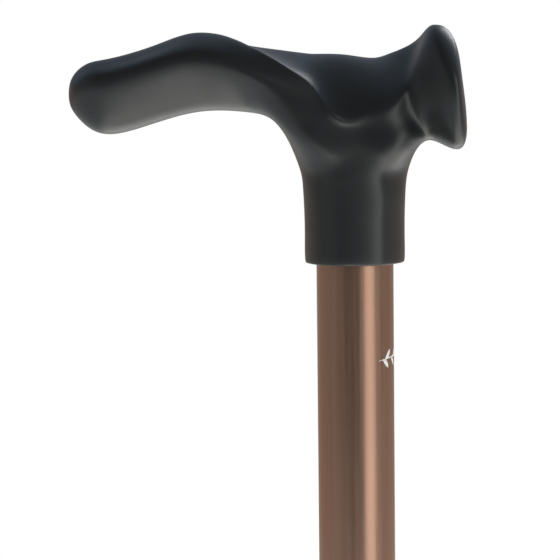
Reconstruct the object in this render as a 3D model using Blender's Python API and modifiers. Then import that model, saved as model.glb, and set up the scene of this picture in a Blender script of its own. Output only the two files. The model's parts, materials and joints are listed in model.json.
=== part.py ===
"""Quad walking cane with an anatomical left-hand palm handle, built piece by piece.

The cane stands on the plane z = 0. The nose of the handle points to -X (forwards), the outer
side of the cane is -Y and the user walks on its +Y side. The shaft stands off the base's centre
towards the user, so the two outer feet reach further out than the two inner ones.
Each object is one separate piece; pieces that touch keep a small running gap.
"""

import math
from collections import namedtuple

import bmesh
import bpy
import numpy as np
from mathutils import Matrix, Vector

MM = 0.001

# ---- driving dimensions -------------------------------------------------------------------
REST_HEIGHT = 865.0 * MM  # floor to the top of the handle's tail, middle height setting
GAP = 0.3 * MM  # clearance kept between pieces that touch
HOLE_PITCH = 19.0 * MM  # between two height settings
HOLES_EACH_WAY = 6  # settings above and below the middle one

BASE_LENGTH = 210.0 * MM  # footprint over the rubber tips, along X
BASE_WIDTH = 165.0 * MM  # footprint over the rubber tips, along Y
SHAFT_OFFSET = 22.0 * MM  # the shaft's distance from the footprint's centre, towards +Y

UPPER_RADIUS = 25.4 / 2 * MM
UPPER_WALL = 1.2 * MM
LOWER_RADIUS = 22.0 / 2 * MM
LOWER_WALL = 1.6 * MM

HANDLE_HEIGHT = 77.5 * MM  # sleeve's lower rim to the tail's peak
BORE_DEPTH = 36.0 * MM  # of the handle's blind bore

# ---- heights that follow ------------------------------------------------------------------
HANDLE_Z = REST_HEIGHT - HANDLE_HEIGHT  # the sleeve's lower rim
UPPER_END_Z = 306.0 * MM  # lower end of the upper tube
UPPER_TOP_Z = HANDLE_Z + BORE_DEPTH - 0.5 * MM
BUTTON_Z = 466.0 * MM
LOWER_TOP_Z = 506.0 * MM
HUB_BOTTOM_Z = 66.0 * MM
HUB_TOP_Z = 148.0 * MM
HUB_FLOOR = 6.0 * MM
LEG_Z = 86.0 * MM  # centre line of the legs where they leave the hub
BOLT_Z = 128.0 * MM
LOWER_END_Z = HUB_BOTTOM_Z + HUB_FLOOR + GAP

UPPER_BORE = UPPER_RADIUS - UPPER_WALL
LOWER_BORE = LOWER_RADIUS - LOWER_WALL

# ---- base ---------------------------------------------------------------------------------
HUB_RADIUS = 16.5 * MM
HUB_FLAT_X = 15.6 * MM  # the two flats under the cross bolt's washers
BOSS_RADIUS = 12.0 * MM
BOSS_REACH = 44.0 * MM  # from the shaft's axis to a boss's face
SOCKET_START = 17.0 * MM  # from the shaft's axis to a leg socket's inner end
LEG_RADIUS = 8.0 * MM
LEG_WALL = 1.5 * MM
LEG_BEND = 38.0 * MM
LEG_SCREW_REACH = 32.0 * MM  # from the shaft's axis to a leg screw
TIP_RADIUS = 17.5 * MM
TIP_HEIGHT = 34.0 * MM
TIP_FLOOR = 6.0 * MM
TIP_PLATE = 2.0 * MM  # thickness of the steel disc inside a tip
LEG_END_Z = TIP_FLOOR + TIP_PLATE + 2 * GAP

# ---- height lock --------------------------------------------------------------------------
BUTTON_RADIUS = 3.9 * MM
BUTTON_HOLE = 4.2 * MM
BUTTON_TIP = 14.7 * MM  # from the shaft's axis to the top of the button
BUTTON_FLANGE = 7.0 * MM  # from the shaft's axis to the back of the button's flange
COLLAR_THREAD = 15.2 * MM  # outer radius of the collar's threaded sleeve
NUT_RADIUS = 18.6 * MM
NUT_LOBES = 16

# ---- facets -------------------------------------------------------------------------------
TUBE_STEPS = 32
PIECE_STEPS = 20
FINE_ANGLE = math.radians(35)
CAD_LEVELS = 2  # subdivision of the handle
CAD_KEEP = 0.36  # part of the subdivided handle's triangles that are kept


# ---- handle -------------------------------------------------------------------------------
# One ring of the handle, in millimetres from the shaft's axis and the sleeve's lower rim.
# low is its underside; (ridge_y, ridge_z) is the near end of the palm surface and
# (edge_y, edge_z) the far end; dip is how far the palm surface sags between the two, and is
# negative where the top is crowned; near and far are the widest points of the sides; shift
# moves the near side along X; side is the shape of the sides, down from the ridge: part of the
# half width, and part of the way to the underside.
Ring = namedtuple("Ring", "x_low x_top low ridge_y ridge_z edge_y edge_z dip near far shift side")


def side(swell, slope):
    """A side that is widest at swell, part of the way down, and draws in below it by its slope."""
    rest = 1 - swell
    return ((1.0, swell), (1.0 - slope, swell + 0.46 * rest), (0.80 - 2 * slope, swell + 0.85 * rest))


OVAL = ((0.97, 0.30), (0.95, 0.62), (0.58, 0.90))
OPEN = ((0.98, 0.32), (0.98, 0.66), (0.72, 0.95))
LEANING = ((0.95, 0.33), (0.99, 0.62), (0.99, 0.90))
STRAIGHT = ((1.0, 0.28), (1.0, 0.58), (0.99, 0.90))

NOSE = (
    Ring(-90.4, -91.4, 48.6, -4.0, 61.0, 4.4, 61.0, -1.5, -6.6, 7.2, 0, side(0.25, 0.15)),
    Ring(-85.6, -86.6, 44.4, -6.0, 64.0, 6.8, 64.0, -2.3, -10.2, 11.5, 0, side(0.20, 0.14)),
    Ring(-77.6, -79.0, 43.2, -6.6, 65.5, 7.6, 65.5, -2.4, -11.8, 13.0, 0, side(0.18, 0.13)),
    Ring(-65.5, -65.5, 46.4, -7.0, 69.3, 7.8, 69.1, -2.5, -13.0, 13.6, 0, side(0.17, 0.15)),
    Ring(-54.0, -53.0, 49.5, -7.4, 73.3, 8.0, 72.6, -2.7, -14.2, 14.0, 0, side(0.22, 0.17)),
    Ring(-44.0, -42.0, 50.4, -8.0, 73.2, 9.4, 71.6, -2.2, -15.2, 14.6, 0, side(0.28, 0.17)),
    Ring(-34.5, -33.5, 49.7, -9.8, 70.6, 11.4, 71.0, -0.2, -16.2, 15.4, 0, side(0.36, 0.17)),
)
NECK = (
    Ring(-25.0, -18.5, 45.6, -13.4, 63.0, 13.0, 69.2, -0.4, -16.4, 16.2, 0, OPEN),
    Ring(-12.5, -12.0, 36.0, -15.2, 54.8, 13.6, 68.2, -3.6, -16.8, 16.8, 0, STRAIGHT),
    Ring(-4.0, -3.4, 34.5, -16.2, 47.6, 14.2, 67.2, -7.0, -16.9, 16.9, 0, STRAIGHT),
    Ring(6.0, 6.0, 34.5, -14.4, 52.5, 14.4, 66.2, -4.8, -16.9, 16.8, 0, LEANING),
    Ring(21.5, 12.0, 38.3, -12.6, 55.0, 14.0, 67.8, -3.4, -15.8, 16.2, -4.0, LEANING),
)
TAIL = (
    Ring(26.5, 18.6, 39.8, -7.4, 63.0, 10.4, 70.6, -1.8, -10.6, 14.8, -5.0, OPEN),
    Ring(30.4, 24.0, 37.9, -9.8, 71.8, 9.8, 73.2, -3.2, -15.8, 16.6, -2.5, OPEN),
    Ring(33.6, 27.8, 37.0, -11.2, 73.9, 10.8, 74.3, -3.4, -19.8, 18.8, -1.2, OPEN),
    Ring(35.8, 32.3, 39.6, -10.0, 71.1, 9.8, 71.5, -2.9, -17.8, 17.0, 0, OPEN),
)
NOSE_CAP = ((-93.2, 0.0, 57.2), (-92.8, 0.0, 52.6))
TAIL_CAP = ((34.6, 0.0, 62.0), (36.3, 0.0, 50.0))
# The neck below the handle: front height, back height, front x, back x, half depth.
NECK_RINGS = (
    (33.0, 31.0, -18.6, 18.0, 16.7),
    (25.0, 23.5, -16.9, 16.8, 16.5),
    (14.0, 14.0, -16.5, 16.5, 16.5),
    (6.0, 6.0, -16.5, 16.5, 16.5),
    (3.0, 3.0, -16.5, 16.5, 16.5),
    (0.7, 0.7, -16.35, 16.35, 16.35),
    (0.1, 0.1, -15.8, 15.8, 15.8),
    (0.0, 0.0, -13.9, 13.9, 13.9),
)
# Directions of a neck ring's points, in degrees from +X, the way the handle's mouth is walked.
NECK_ANGLES = (214, 180, 146, 126, 104, 72, 45, 0, -45, -72, -104, -126)
RIDGE_CREASE = (0.3, 0.6, 0.6, 0.6)  # sharpness of the ridge's edges, from the nose to its end
RIM_CREASE = 0.3  # and of the tail's flared rim on the near side
FIT_ROUNDS = 12
# Places where the surface is melted: (centre, radius, rounds).
SOFT_PLACES = (
    ((5.0, -15.0, 50.0), 8, 19),
    ((21.0, -12.5, 51.0), 13, 44),
)
SHIFTED = (0.4, 1.0, 1.0, 0.5)  # how far the ridge and the near side's points take a ring's shift


def ring_points(ring):
    """The ten points of a ring: top, ridge, down the near side, underside, up the far side, edge."""
    top = max(ring.ridge_z, ring.edge_z)
    far_side = ring.side if ring.side in (OPEN, LEANING, STRAIGHT) else OVAL

    def point(y, z, shift=0.0):
        x = ring.x_low + (ring.x_top - ring.x_low) * (z - ring.low) / (top - ring.low)
        return (x + shift * ring.shift, y, z)

    crown = point((ring.ridge_y + ring.edge_y) / 2, (ring.ridge_z + ring.edge_z) / 2 - ring.dip)
    near = [
        point(ring.near * across, ring.ridge_z - (ring.ridge_z - ring.low) * down, part)
        for (across, down), part in zip(ring.side, SHIFTED[1:])
    ]
    far = [
        point(ring.far * across, ring.edge_z - (ring.edge_z - ring.low) * down)
        for across, down in far_side
    ]
    under = point((ring.near + ring.far) / 2, ring.low)
    ridge = point(ring.ridge_y, ring.ridge_z, SHIFTED[0])
    edge = point(ring.edge_y, ring.edge_z)
    return [crown, ridge, *near, under, *reversed(far), edge]


def neck_points(front_z, back_z, front_x, back_x, depth):
    """Twelve points round the neck, from its front corner on the near side, by way of the far side."""
    middle = (front_x + back_x) / 2
    reach = (back_x - front_x) / 2
    points = []
    for degrees in NECK_ANGLES:
        angle = math.radians(degrees)
        x = math.cos(angle)
        z = back_z + (front_z - back_z) * max(0.0, -x)
        points.append((middle + reach * x, depth * math.sin(angle), z))
    return points


def cap_faces(ring, inner):
    """Six quads that close a ring of ten points over two inner points, wound for the nose."""
    top, ridge, near_1, near_2, near_3, under, far_3, far_2, far_1, edge = ring
    upper, lower = inner
    return [
        (top, ridge, near_1, upper),
        (edge, top, upper, far_1),
        (upper, near_1, near_2, lower),
        (far_1, upper, lower, far_2),
        (lower, near_2, near_3, under),
        (far_2, lower, under, far_3),
    ]


def handle_cage():
    """(points on the surface, quads, creased edges) of the handle, a T of three joined tubes."""
    points = []

    def add(new):
        first = len(points)
        points.extend(new)
        return list(range(first, len(points)))

    rings = [add(ring_points(ring)) for ring in (*NOSE, *NECK, *TAIL)]
    front, *middles, back = rings[len(NOSE) : len(NOSE) + len(NECK)]

    faces = []
    count = len(rings[0])
    underside = (4, 5)  # the two faces of a band that lie under it
    for ahead, behind in zip(rings, rings[1:]):
        over_neck = ahead in (front, *middles)
        for i in range(count):
            if over_neck and i in underside:
                continue
            j = (i + 1) % count
            faces.append((ahead[i], behind[i], behind[j], ahead[j]))

    far_mouth = [ring[6] for ring in middles]
    near_mouth = [ring[4] for ring in reversed(middles)]
    mouth = [front[4], front[5], front[6], *far_mouth, back[6], back[5], back[4], *near_mouth]
    collars = [mouth] + [add(neck_points(*row)) for row in NECK_RINGS]
    for above, below in zip(collars, collars[1:]):
        for i in range(len(mouth)):
            j = (i + 1) % len(mouth)
            faces.append((above[i], above[j], below[j], below[i]))
    rim = collars[-1]
    centre = add([(0.0, 0.0, 0.0)])[0]
    for i in range(0, len(rim), 2):
        faces.append((rim[i], rim[i + 1], centre, rim[i - 1]))

    faces.extend(cap_faces(rings[0], add(NOSE_CAP)))
    faces.extend(tuple(reversed(face)) for face in cap_faces(rings[-1], add(TAIL_CAP)))

    first = len(NOSE) - 2
    ridge = [ring[1] for ring in rings[first : first + len(RIDGE_CREASE) + 1]]
    creases = dict(zip(zip(ridge, ridge[1:]), RIDGE_CREASE))
    flare = rings[-2]
    creases.update({(flare[i], flare[i + 1]): RIM_CREASE for i in (1, 2, 3)})
    unused = {ring[5] for ring in middles}  # the neck's mouth is there
    return without_points(points, faces, creases, unused)


def without_points(points, faces, creases, unused):
    """The same cage with its unused points taken out and the others renumbered."""

    def renumber(index):
        return index - sum(gone < index for gone in unused)

    kept = [point for i, point in enumerate(points) if i not in unused]
    faces = [tuple(renumber(i) for i in face) for face in faces]
    creases = {tuple(renumber(i) for i in edge): value for edge, value in creases.items()}
    return kept, faces, creases


def build_handle_mesh(levels):
    """An object whose subdivided surface passes through the cage's points."""
    points, faces, creases = handle_cage()
    target = np.array(points) * MM
    mesh = bpy.data.meshes.new("handle")
    mesh.from_pydata(target.tolist(), [], faces)
    bm = bmesh.new()
    bm.from_mesh(mesh)
    bmesh.ops.recalc_face_normals(bm, faces=bm.faces)
    bm.verts.ensure_lookup_table()
    sharpness = bm.edges.layers.float.new("crease_edge")
    for (a, b), value in creases.items():
        edge = bm.edges.get((bm.verts[a], bm.verts[b]))
        edge[sharpness] = value
    bm.to_mesh(mesh)
    bm.free()
    obj = bpy.data.objects.new("handle", mesh)
    subdivide = obj.modifiers.new("soft_form", "SUBSURF")
    subdivide.levels = levels
    subdivide.render_levels = levels
    fit_cage(obj, target)
    graph = bpy.context.evaluated_depsgraph_get()
    fine = bpy.data.meshes.new_from_object(obj.evaluated_get(graph))
    bpy.data.objects.remove(obj, do_unlink=True)
    bpy.data.meshes.remove(mesh)
    for place in SOFT_PLACES:
        soften(fine, *place)
    fine.shade_smooth()
    return bpy.data.objects.new("handle", fine)


def soften(mesh, centre, radius, rounds):
    """Melts the surface round a point, more in the middle than at the edge."""
    bm = bmesh.new()
    bm.from_mesh(mesh)
    reach = {vert: (vert.co - Vector(centre) * MM).length / MM for vert in bm.verts}
    for step in range(rounds):
        within = radius * (0.55 + 0.45 * step / rounds)
        verts = [vert for vert, distance in reach.items() if distance < within]
        bmesh.ops.smooth_vert(bm, verts=verts, factor=0.5, use_axis_x=True, use_axis_y=True, use_axis_z=True)
    bm.to_mesh(mesh)
    bm.free()


def fit_cage(obj, target):
    """Moves the cage out until the subdivided surface meets the target points."""
    bpy.context.scene.collection.objects.link(obj)
    cage = target.copy()
    for _ in range(FIT_ROUNDS):
        obj.data.vertices.foreach_set("co", cage.ravel())
        obj.data.update()
        graph = bpy.context.evaluated_depsgraph_get()
        smooth = obj.evaluated_get(graph).to_mesh()
        surface = np.empty(len(smooth.vertices) * 3)
        smooth.vertices.foreach_get("co", surface)
        cage += target - surface.reshape(-1, 3)[: len(target)]
        obj.evaluated_get(graph).to_mesh_clear()
    obj.data.vertices.foreach_set("co", cage.ravel())
    obj.data.update()


# ---- scene helpers ------------------------------------------------------------------------
def clear_scene():
    for obj in list(bpy.data.objects):
        bpy.data.objects.remove(obj, do_unlink=True)


def new_collection(name):
    collection = bpy.data.collections.new(name)
    bpy.context.scene.collection.children.link(collection)
    return collection


def make_material(name, colour, roughness, metallic):
    material = bpy.data.materials.new(name)
    material.use_nodes = True
    shader = material.node_tree.nodes["Principled BSDF"]
    shader.inputs["Base Color"].default_value = (*colour, 1.0)
    shader.inputs["Roughness"].default_value = roughness
    shader.inputs["Metallic"].default_value = metallic
    return material


clear_scene()
CANE = new_collection("quad_walking_cane")
CUTTERS = new_collection("cutters")

MOULDED_BLACK = make_material("moulded_black", (0.020, 0.023, 0.024), 0.42, 0.0)
BRONZE = make_material("bronze_anodised", (0.235, 0.140, 0.108), 0.34, 0.85)
BLACK_PLASTIC = make_material("black_plastic", (0.025, 0.025, 0.027), 0.5, 0.0)
NYLON = make_material("grey_nylon", (0.42, 0.42, 0.40), 0.55, 0.0)
POWDER_COAT = make_material("black_powder_coat", (0.030, 0.030, 0.032), 0.55, 0.1)
RUBBER = make_material("black_rubber", (0.030, 0.029, 0.028), 0.85, 0.0)
ZINC = make_material("zinc_plated_steel", (0.62, 0.62, 0.60), 0.35, 1.0)
SPRING_STEEL = make_material("spring_steel", (0.48, 0.48, 0.50), 0.3, 1.0)


def add_empty(name, location):
    empty = bpy.data.objects.new(name, None)
    empty.location = location
    CANE.objects.link(empty)
    return empty


# The empties sit on the shaft's axis: the base's, and that of each moving group.
STAND = add_empty("stand", (0.0, SHAFT_OFFSET, 0.0))
UPPER = add_empty("upper_shaft", (0.0, SHAFT_OFFSET, HANDLE_Z))
COLLAR = add_empty("collar", (0.0, SHAFT_OFFSET, UPPER_END_Z))
BUTTON = add_empty("button_axis", (0.0, SHAFT_OFFSET, BUTTON_Z))


def add_piece(obj, material, parent, location=(0, 0, 0), rotation=(0, 0, 0)):
    """Links an object as a piece of the cane, at a place in its parent's frame."""
    obj.data.materials.clear()
    obj.data.materials.append(material)
    CANE.objects.link(obj)
    place(obj, parent, location, rotation)
    return obj


def add_cutter(obj, parent, location=(0, 0, 0), rotation=(0, 0, 0)):
    CUTTERS.objects.link(obj)
    obj.hide_render = True
    obj.display_type = "WIRE"
    place(obj, parent, location, rotation)
    return obj


def place(obj, parent, location, rotation):
    obj.parent = parent
    obj.location = location
    obj.rotation_euler = rotation


def boolean(obj, other, operation="DIFFERENCE"):
    modifier = obj.modifiers.new(other.name, "BOOLEAN")
    modifier.operation = operation
    modifier.object = other


def mesh_object(name, bm):
    mesh = bpy.data.meshes.new(name)
    bm.to_mesh(mesh)
    bm.free()
    mesh.shade_smooth()
    mesh.set_sharp_from_angle(angle=FINE_ANGLE)
    return bpy.data.objects.new(name, mesh)


def rod(name, radius, start, end, sides=16):
    """A closed cylinder or prism along its own Z axis, from start to end."""
    bm = bmesh.new()
    bmesh.ops.create_cone(
        bm,
        cap_ends=True,
        segments=sides,
        radius1=radius,
        radius2=radius,
        depth=end - start,
        matrix=Matrix.Translation((0, 0, (start + end) / 2)),
    )
    return mesh_object(name, bm)


def block(name, size, centre):
    bm = bmesh.new()
    scale = Matrix.Diagonal((*size, 1.0))
    bmesh.ops.create_cube(bm, size=1.0, matrix=Matrix.Translation(centre) @ scale)
    return mesh_object(name, bm)


def turned(name, profile, steps=PIECE_STEPS, ring=False):
    """A profile of (radius, height) points, run down its outer side, turned about Z."""
    mesh = bpy.data.meshes.new(name)
    verts = [(radius, 0.0, height) for radius, height in profile]
    edges = [(i, i + 1) for i in range(len(verts) - 1)]
    if ring:
        edges.append((len(verts) - 1, 0))
    mesh.from_pydata(verts, edges, [])
    obj = bpy.data.objects.new(name, mesh)
    screw = obj.modifiers.new("turn", "SCREW")
    screw.axis = "Z"
    screw.steps = steps
    screw.render_steps = steps
    screw.use_merge_vertices = True
    screw.merge_threshold = 1e-6
    screw.use_smooth_shade = True
    return obj


def pipe_profile(outer, inner, low, high, chamfer):
    """A tube wall's closed outline, with its outer corners broken."""
    return [
        (outer - chamfer, high),
        (outer, high - chamfer),
        (outer, low + chamfer),
        (outer - chamfer, low),
        (inner, low),
        (inner, high),
    ]


def arc(centre, radius, start, end, steps):
    """Points on an arc, between two angles in degrees."""
    points = []
    for step in range(steps + 1):
        angle = math.radians(start + (end - start) * step / steps)
        points.append(
            (centre[0] + radius * math.cos(angle), centre[1] + radius * math.sin(angle))
        )
    return points


OUTWARD = (math.radians(90), 0.0, 0.0)  # turns a piece's own Z axis to -Y
INWARD = (math.radians(-90), 0.0, 0.0)  # turns it to +Y
CROSSWAYS = (0.0, math.radians(90), 0.0)  # turns it to +X


# ---- handle and upper shaft ---------------------------------------------------------------
SCREW_HEIGHT = 18.0 * MM  # handle screw, above the sleeve's rim, on the far side
SCREW_SEAT = 14.6 * MM  # from the shaft's axis to the floor of the screw's recess
SCREW_RADIUS = 2.0 * MM
SCREW_HOLE = 2.3 * MM
SCREW_LENGTH = 9.0 * MM


def make_screw_hole():
    hole = rod("screw_hole", SCREW_HOLE, UPPER_BORE - 8 * MM, 20 * MM, 12)
    return add_cutter(hole, UPPER, (0, 0, SCREW_HEIGHT), INWARD)


def make_handle(screw_hole):
    handle = build_handle_mesh(CAD_LEVELS)
    thin_out = handle.modifiers.new("thin_out", "DECIMATE")
    thin_out.ratio = CAD_KEEP
    add_piece(handle, MOULDED_BLACK, UPPER)
    bore = rod("handle_bore", UPPER_RADIUS + GAP, -5 * MM, BORE_DEPTH, TUBE_STEPS)
    boolean(handle, add_cutter(bore, UPPER))
    recess = rod("screw_recess", 4.6 * MM, SCREW_SEAT, 20 * MM, 16)
    boolean(handle, add_cutter(recess, UPPER, (0, 0, SCREW_HEIGHT), INWARD))
    boolean(handle, screw_hole)


def make_handle_fixing(screw_hole):
    top = BORE_DEPTH - 1 * MM
    rim = UPPER_BORE - GAP
    profile = [
        (0, top),
        (rim - 0.8 * MM, top),
        (rim, top - 1 * MM),
        (rim, 4 * MM),
        (rim - 1.6 * MM, 2 * MM),
        (0, 2 * MM),
    ]
    plug = turned("handle_plug", profile)
    add_piece(plug, NYLON, UPPER)
    boolean(plug, screw_hole)
    head = [(0, 2.2 * MM), (2.2 * MM, 2.0 * MM), (3.7 * MM, 1.1 * MM), (4.0 * MM, 0.0)]
    shank = [
        (SCREW_RADIUS, 0.0),
        (SCREW_RADIUS, 1.6 * MM - SCREW_LENGTH),
        (0.4 * MM, -SCREW_LENGTH),
        (0, -SCREW_LENGTH),
    ]
    screw = turned("handle_screw", head + shank, 20)
    add_piece(screw, ZINC, UPPER, (0, SCREW_SEAT + GAP, SCREW_HEIGHT), INWARD)
    for name, size in (("slot_long", (5.0, 1.0)), ("slot_short", (1.0, 5.0))):
        drive = block(name, (size[0] * MM, size[1] * MM, 3 * MM), (0, 0, 2.5 * MM))
        boolean(screw, add_cutter(drive, screw))


def make_upper_tube(screw_hole):
    low = UPPER_END_Z - HANDLE_Z
    high = UPPER_TOP_Z - HANDLE_Z
    tube = turned(
        "upper_tube",
        pipe_profile(UPPER_RADIUS, UPPER_BORE, low, high, 0.3 * MM),
        TUBE_STEPS,
        ring=True,
    )
    add_piece(tube, BRONZE, UPPER)
    boolean(tube, screw_hole)
    bm = bmesh.new()
    for setting in range(-HOLES_EACH_WAY, HOLES_EACH_WAY + 1):
        centre = (0, -14 * MM, BUTTON_Z - HANDLE_Z + setting * HOLE_PITCH)
        turn = Matrix.Translation(centre) @ Matrix.Rotation(math.radians(90), 4, "X")
        bmesh.ops.create_cone(
            bm,
            cap_ends=True,
            segments=12,
            radius1=BUTTON_HOLE,
            radius2=BUTTON_HOLE,
            depth=12 * MM,
            matrix=turn,
        )
    boolean(tube, add_cutter(mesh_object("height_holes", bm), UPPER))


# ---- collar at the lower end of the upper tube --------------------------------------------
def make_collar_sleeve():
    """Holds on the upper tube's end; its slotted lower end closes on the lower tube."""
    thread = COLLAR_THREAD
    sleeve = turned(
        "collar_sleeve",
        [
            (16.6 * MM, 19 * MM),
            (17.4 * MM, 18 * MM),
            (17.4 * MM, 14.4 * MM),
            (thread, 14.4 * MM),
            (thread, -9 * MM),
            (thread - 1.0 * MM, -10 * MM),
            (LOWER_RADIUS + 0.4 * MM, -10 * MM),
            (LOWER_RADIUS + 0.4 * MM, -GAP),
            (UPPER_RADIUS + GAP, -GAP),
            (UPPER_RADIUS + GAP, 19 * MM),
        ],
        TUBE_STEPS,
        ring=True,
    )
    add_piece(sleeve, BLACK_PLASTIC, COLLAR)
    for turn in (45, 135):
        slot = block(f"sleeve_slot_{turn}", (40 * MM, 1.6 * MM, 8 * MM), (0, 0, -8 * MM))
        boolean(sleeve, add_cutter(slot, COLLAR, (0, 0, 0), (0, 0, math.radians(turn))))


def make_collar_ring():
    ring = turned(
        "collar_ring",
        [
            (14.0 * MM, -10.6 * MM),
            (15.0 * MM, -11.6 * MM),
            (15.0 * MM, -14.5 * MM),
            (LOWER_RADIUS + 0.4 * MM, -14.5 * MM),
            (LOWER_RADIUS + 0.4 * MM, -12.2 * MM),
            (12.2 * MM, -10.6 * MM),
        ],
        TUBE_STEPS,
        ring=True,
    )
    add_piece(ring, NYLON, COLLAR)


def make_collar_nut():
    """A lobed hand nut over the sleeve's thread."""
    low, high = -18 * MM, 14 * MM
    curve = bpy.data.curves.new("collar_nut", "CURVE")
    curve.dimensions = "2D"
    curve.fill_mode = "BOTH"
    curve.extrude = (high - low) / 2
    points_per_lobe = 4
    count = NUT_LOBES * points_per_lobe
    spline = curve.splines.new("POLY")
    spline.points.add(count - 1)
    spline.use_cyclic_u = True
    for i, point in enumerate(spline.points):
        angle = 2 * math.pi * i / count
        radius = NUT_RADIUS + 0.45 * MM * math.cos(NUT_LOBES * angle)
        point.co = (radius * math.cos(angle), radius * math.sin(angle), 0, 1)
    nut = solid_from_curve("collar_nut", curve)
    nut.data.transform(Matrix.Translation((0, 0, (low + high) / 2)))
    add_piece(nut, BLACK_PLASTIC, COLLAR)
    space = [
        (0, 20 * MM),
        (COLLAR_THREAD + 0.4 * MM, 20 * MM),
        (COLLAR_THREAD + 0.4 * MM, -14.8 * MM),
        (LOWER_RADIUS + 0.6 * MM, -14.8 * MM),
        (LOWER_RADIUS + 0.6 * MM, -24 * MM),
        (0, -24 * MM),
    ]
    boolean(nut, add_cutter(turned("nut_space", space, TUBE_STEPS), COLLAR))
    waist = [
        (24 * MM, 15 * MM),
        (24 * MM, -19 * MM),
        (15.8 * MM, -19 * MM),
        (19.4 * MM, -13.5 * MM),
        (19.4 * MM, 11.0 * MM),
        (17.0 * MM, 15 * MM),
    ]
    boolean(nut, add_cutter(turned("nut_shoulders", waist, TUBE_STEPS, ring=True), COLLAR))


def solid_from_curve(name, curve):
    """A mesh object made from a curve, its caps welded on, and the curve taken away."""
    temporary = bpy.data.objects.new(name, curve)
    bpy.context.scene.collection.objects.link(temporary)
    graph = bpy.context.evaluated_depsgraph_get()
    mesh = bpy.data.meshes.new_from_object(temporary.evaluated_get(graph))
    bpy.data.objects.remove(temporary, do_unlink=True)
    bm = bmesh.new()
    bm.from_mesh(mesh)
    bmesh.ops.remove_doubles(bm, verts=bm.verts, dist=0.01 * MM)
    bmesh.ops.recalc_face_normals(bm, faces=bm.faces)
    bpy.data.meshes.remove(mesh)
    return mesh_object(name, bm)


# ---- lower shaft --------------------------------------------------------------------------
def make_lower_tube():
    tube = turned(
        "lower_tube",
        pipe_profile(LOWER_RADIUS, LOWER_BORE, LOWER_END_Z, LOWER_TOP_Z, 0.3 * MM),
        TUBE_STEPS,
        ring=True,
    )
    add_piece(tube, BRONZE, STAND)
    button_hole = rod("button_hole", BUTTON_HOLE, 4 * MM, 16 * MM, 16)
    boolean(tube, add_cutter(button_hole, BUTTON, (0, 0, 0), OUTWARD))
    bolt_hole = rod("bolt_hole", 3.3 * MM, -30 * MM, 30 * MM, 16)
    bolt_hole = add_cutter(bolt_hole, STAND, (0, 0, BOLT_Z), CROSSWAYS)
    boolean(tube, bolt_hole)
    return bolt_hole


def make_guide_plug():
    """The nylon end plug that centres the lower tube in the upper one."""
    inside = LOWER_BORE - GAP
    rim = UPPER_BORE - GAP
    top = LOWER_TOP_Z + 6 * MM
    seat = LOWER_TOP_Z + GAP
    plug = turned(
        "guide_plug",
        [
            (0, top),
            (rim - 1.2 * MM, top),
            (rim, top - 1.2 * MM),
            (rim, seat),
            (inside, seat),
            (inside, seat - 13 * MM),
            (inside - 1.0 * MM, seat - 14 * MM),
            (0, seat - 14 * MM),
        ],
    )
    add_piece(plug, NYLON, STAND)


def make_snap_button():
    shoulder = BUTTON_TIP - 1.6 * MM
    dome = [(0, BUTTON_TIP)]
    dome += [
        (BUTTON_RADIUS * math.sin(angle), shoulder + 1.6 * MM * math.cos(angle))
        for angle in (math.radians(30), math.radians(60), math.radians(90))
    ]
    stem = [
        (BUTTON_RADIUS, BUTTON_FLANGE + 1.0 * MM),
        (4.6 * MM, BUTTON_FLANGE + 0.9 * MM),
        (4.6 * MM, BUTTON_FLANGE),
        (0, BUTTON_FLANGE),
    ]
    add_piece(turned("snap_button", dome + stem, 20), ZINC, BUTTON, (0, 0, 0), OUTWARD)


def make_button_spring():
    """A bent strip: one leg behind the button, the other on the tube's opposite wall."""
    half_width = 3.6 * MM
    bend = 5.0 * MM
    strip = [(-6.35 * MM, 9 * MM), (-6.35 * MM, -4 * MM)]
    strip += arc((0.0, -32 * MM), bend, 180, 360, 8)
    strip += [(7.9 * MM, -4 * MM), (8.0 * MM, 6 * MM)]
    bm = bmesh.new()
    rows = [
        [bm.verts.new((x, y, z)) for x in (-half_width, half_width)] for y, z in strip
    ]
    for first, second in zip(rows, rows[1:]):
        bm.faces.new((first[0], first[1], second[1], second[0]))
    spring = mesh_object("button_spring", bm)
    thickness = spring.modifiers.new("strip_thickness", "SOLIDIFY")
    thickness.thickness = 0.6 * MM
    thickness.offset = 0.0
    thickness.use_even_offset = True
    add_piece(spring, SPRING_STEEL, BUTTON)


# ---- base ---------------------------------------------------------------------------------
def foot_places():
    """Name and place of each foot, from the shaft's axis."""
    reach_x = BASE_LENGTH / 2 - TIP_RADIUS
    reach_y = BASE_WIDTH / 2 - TIP_RADIUS
    places = []
    for end, x in (("front", -reach_x), ("rear", reach_x)):
        for side, y in (("outer", -reach_y), ("inner", reach_y)):
            places.append((f"{end}_{side}", x, y - SHAFT_OFFSET))
    return places


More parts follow.
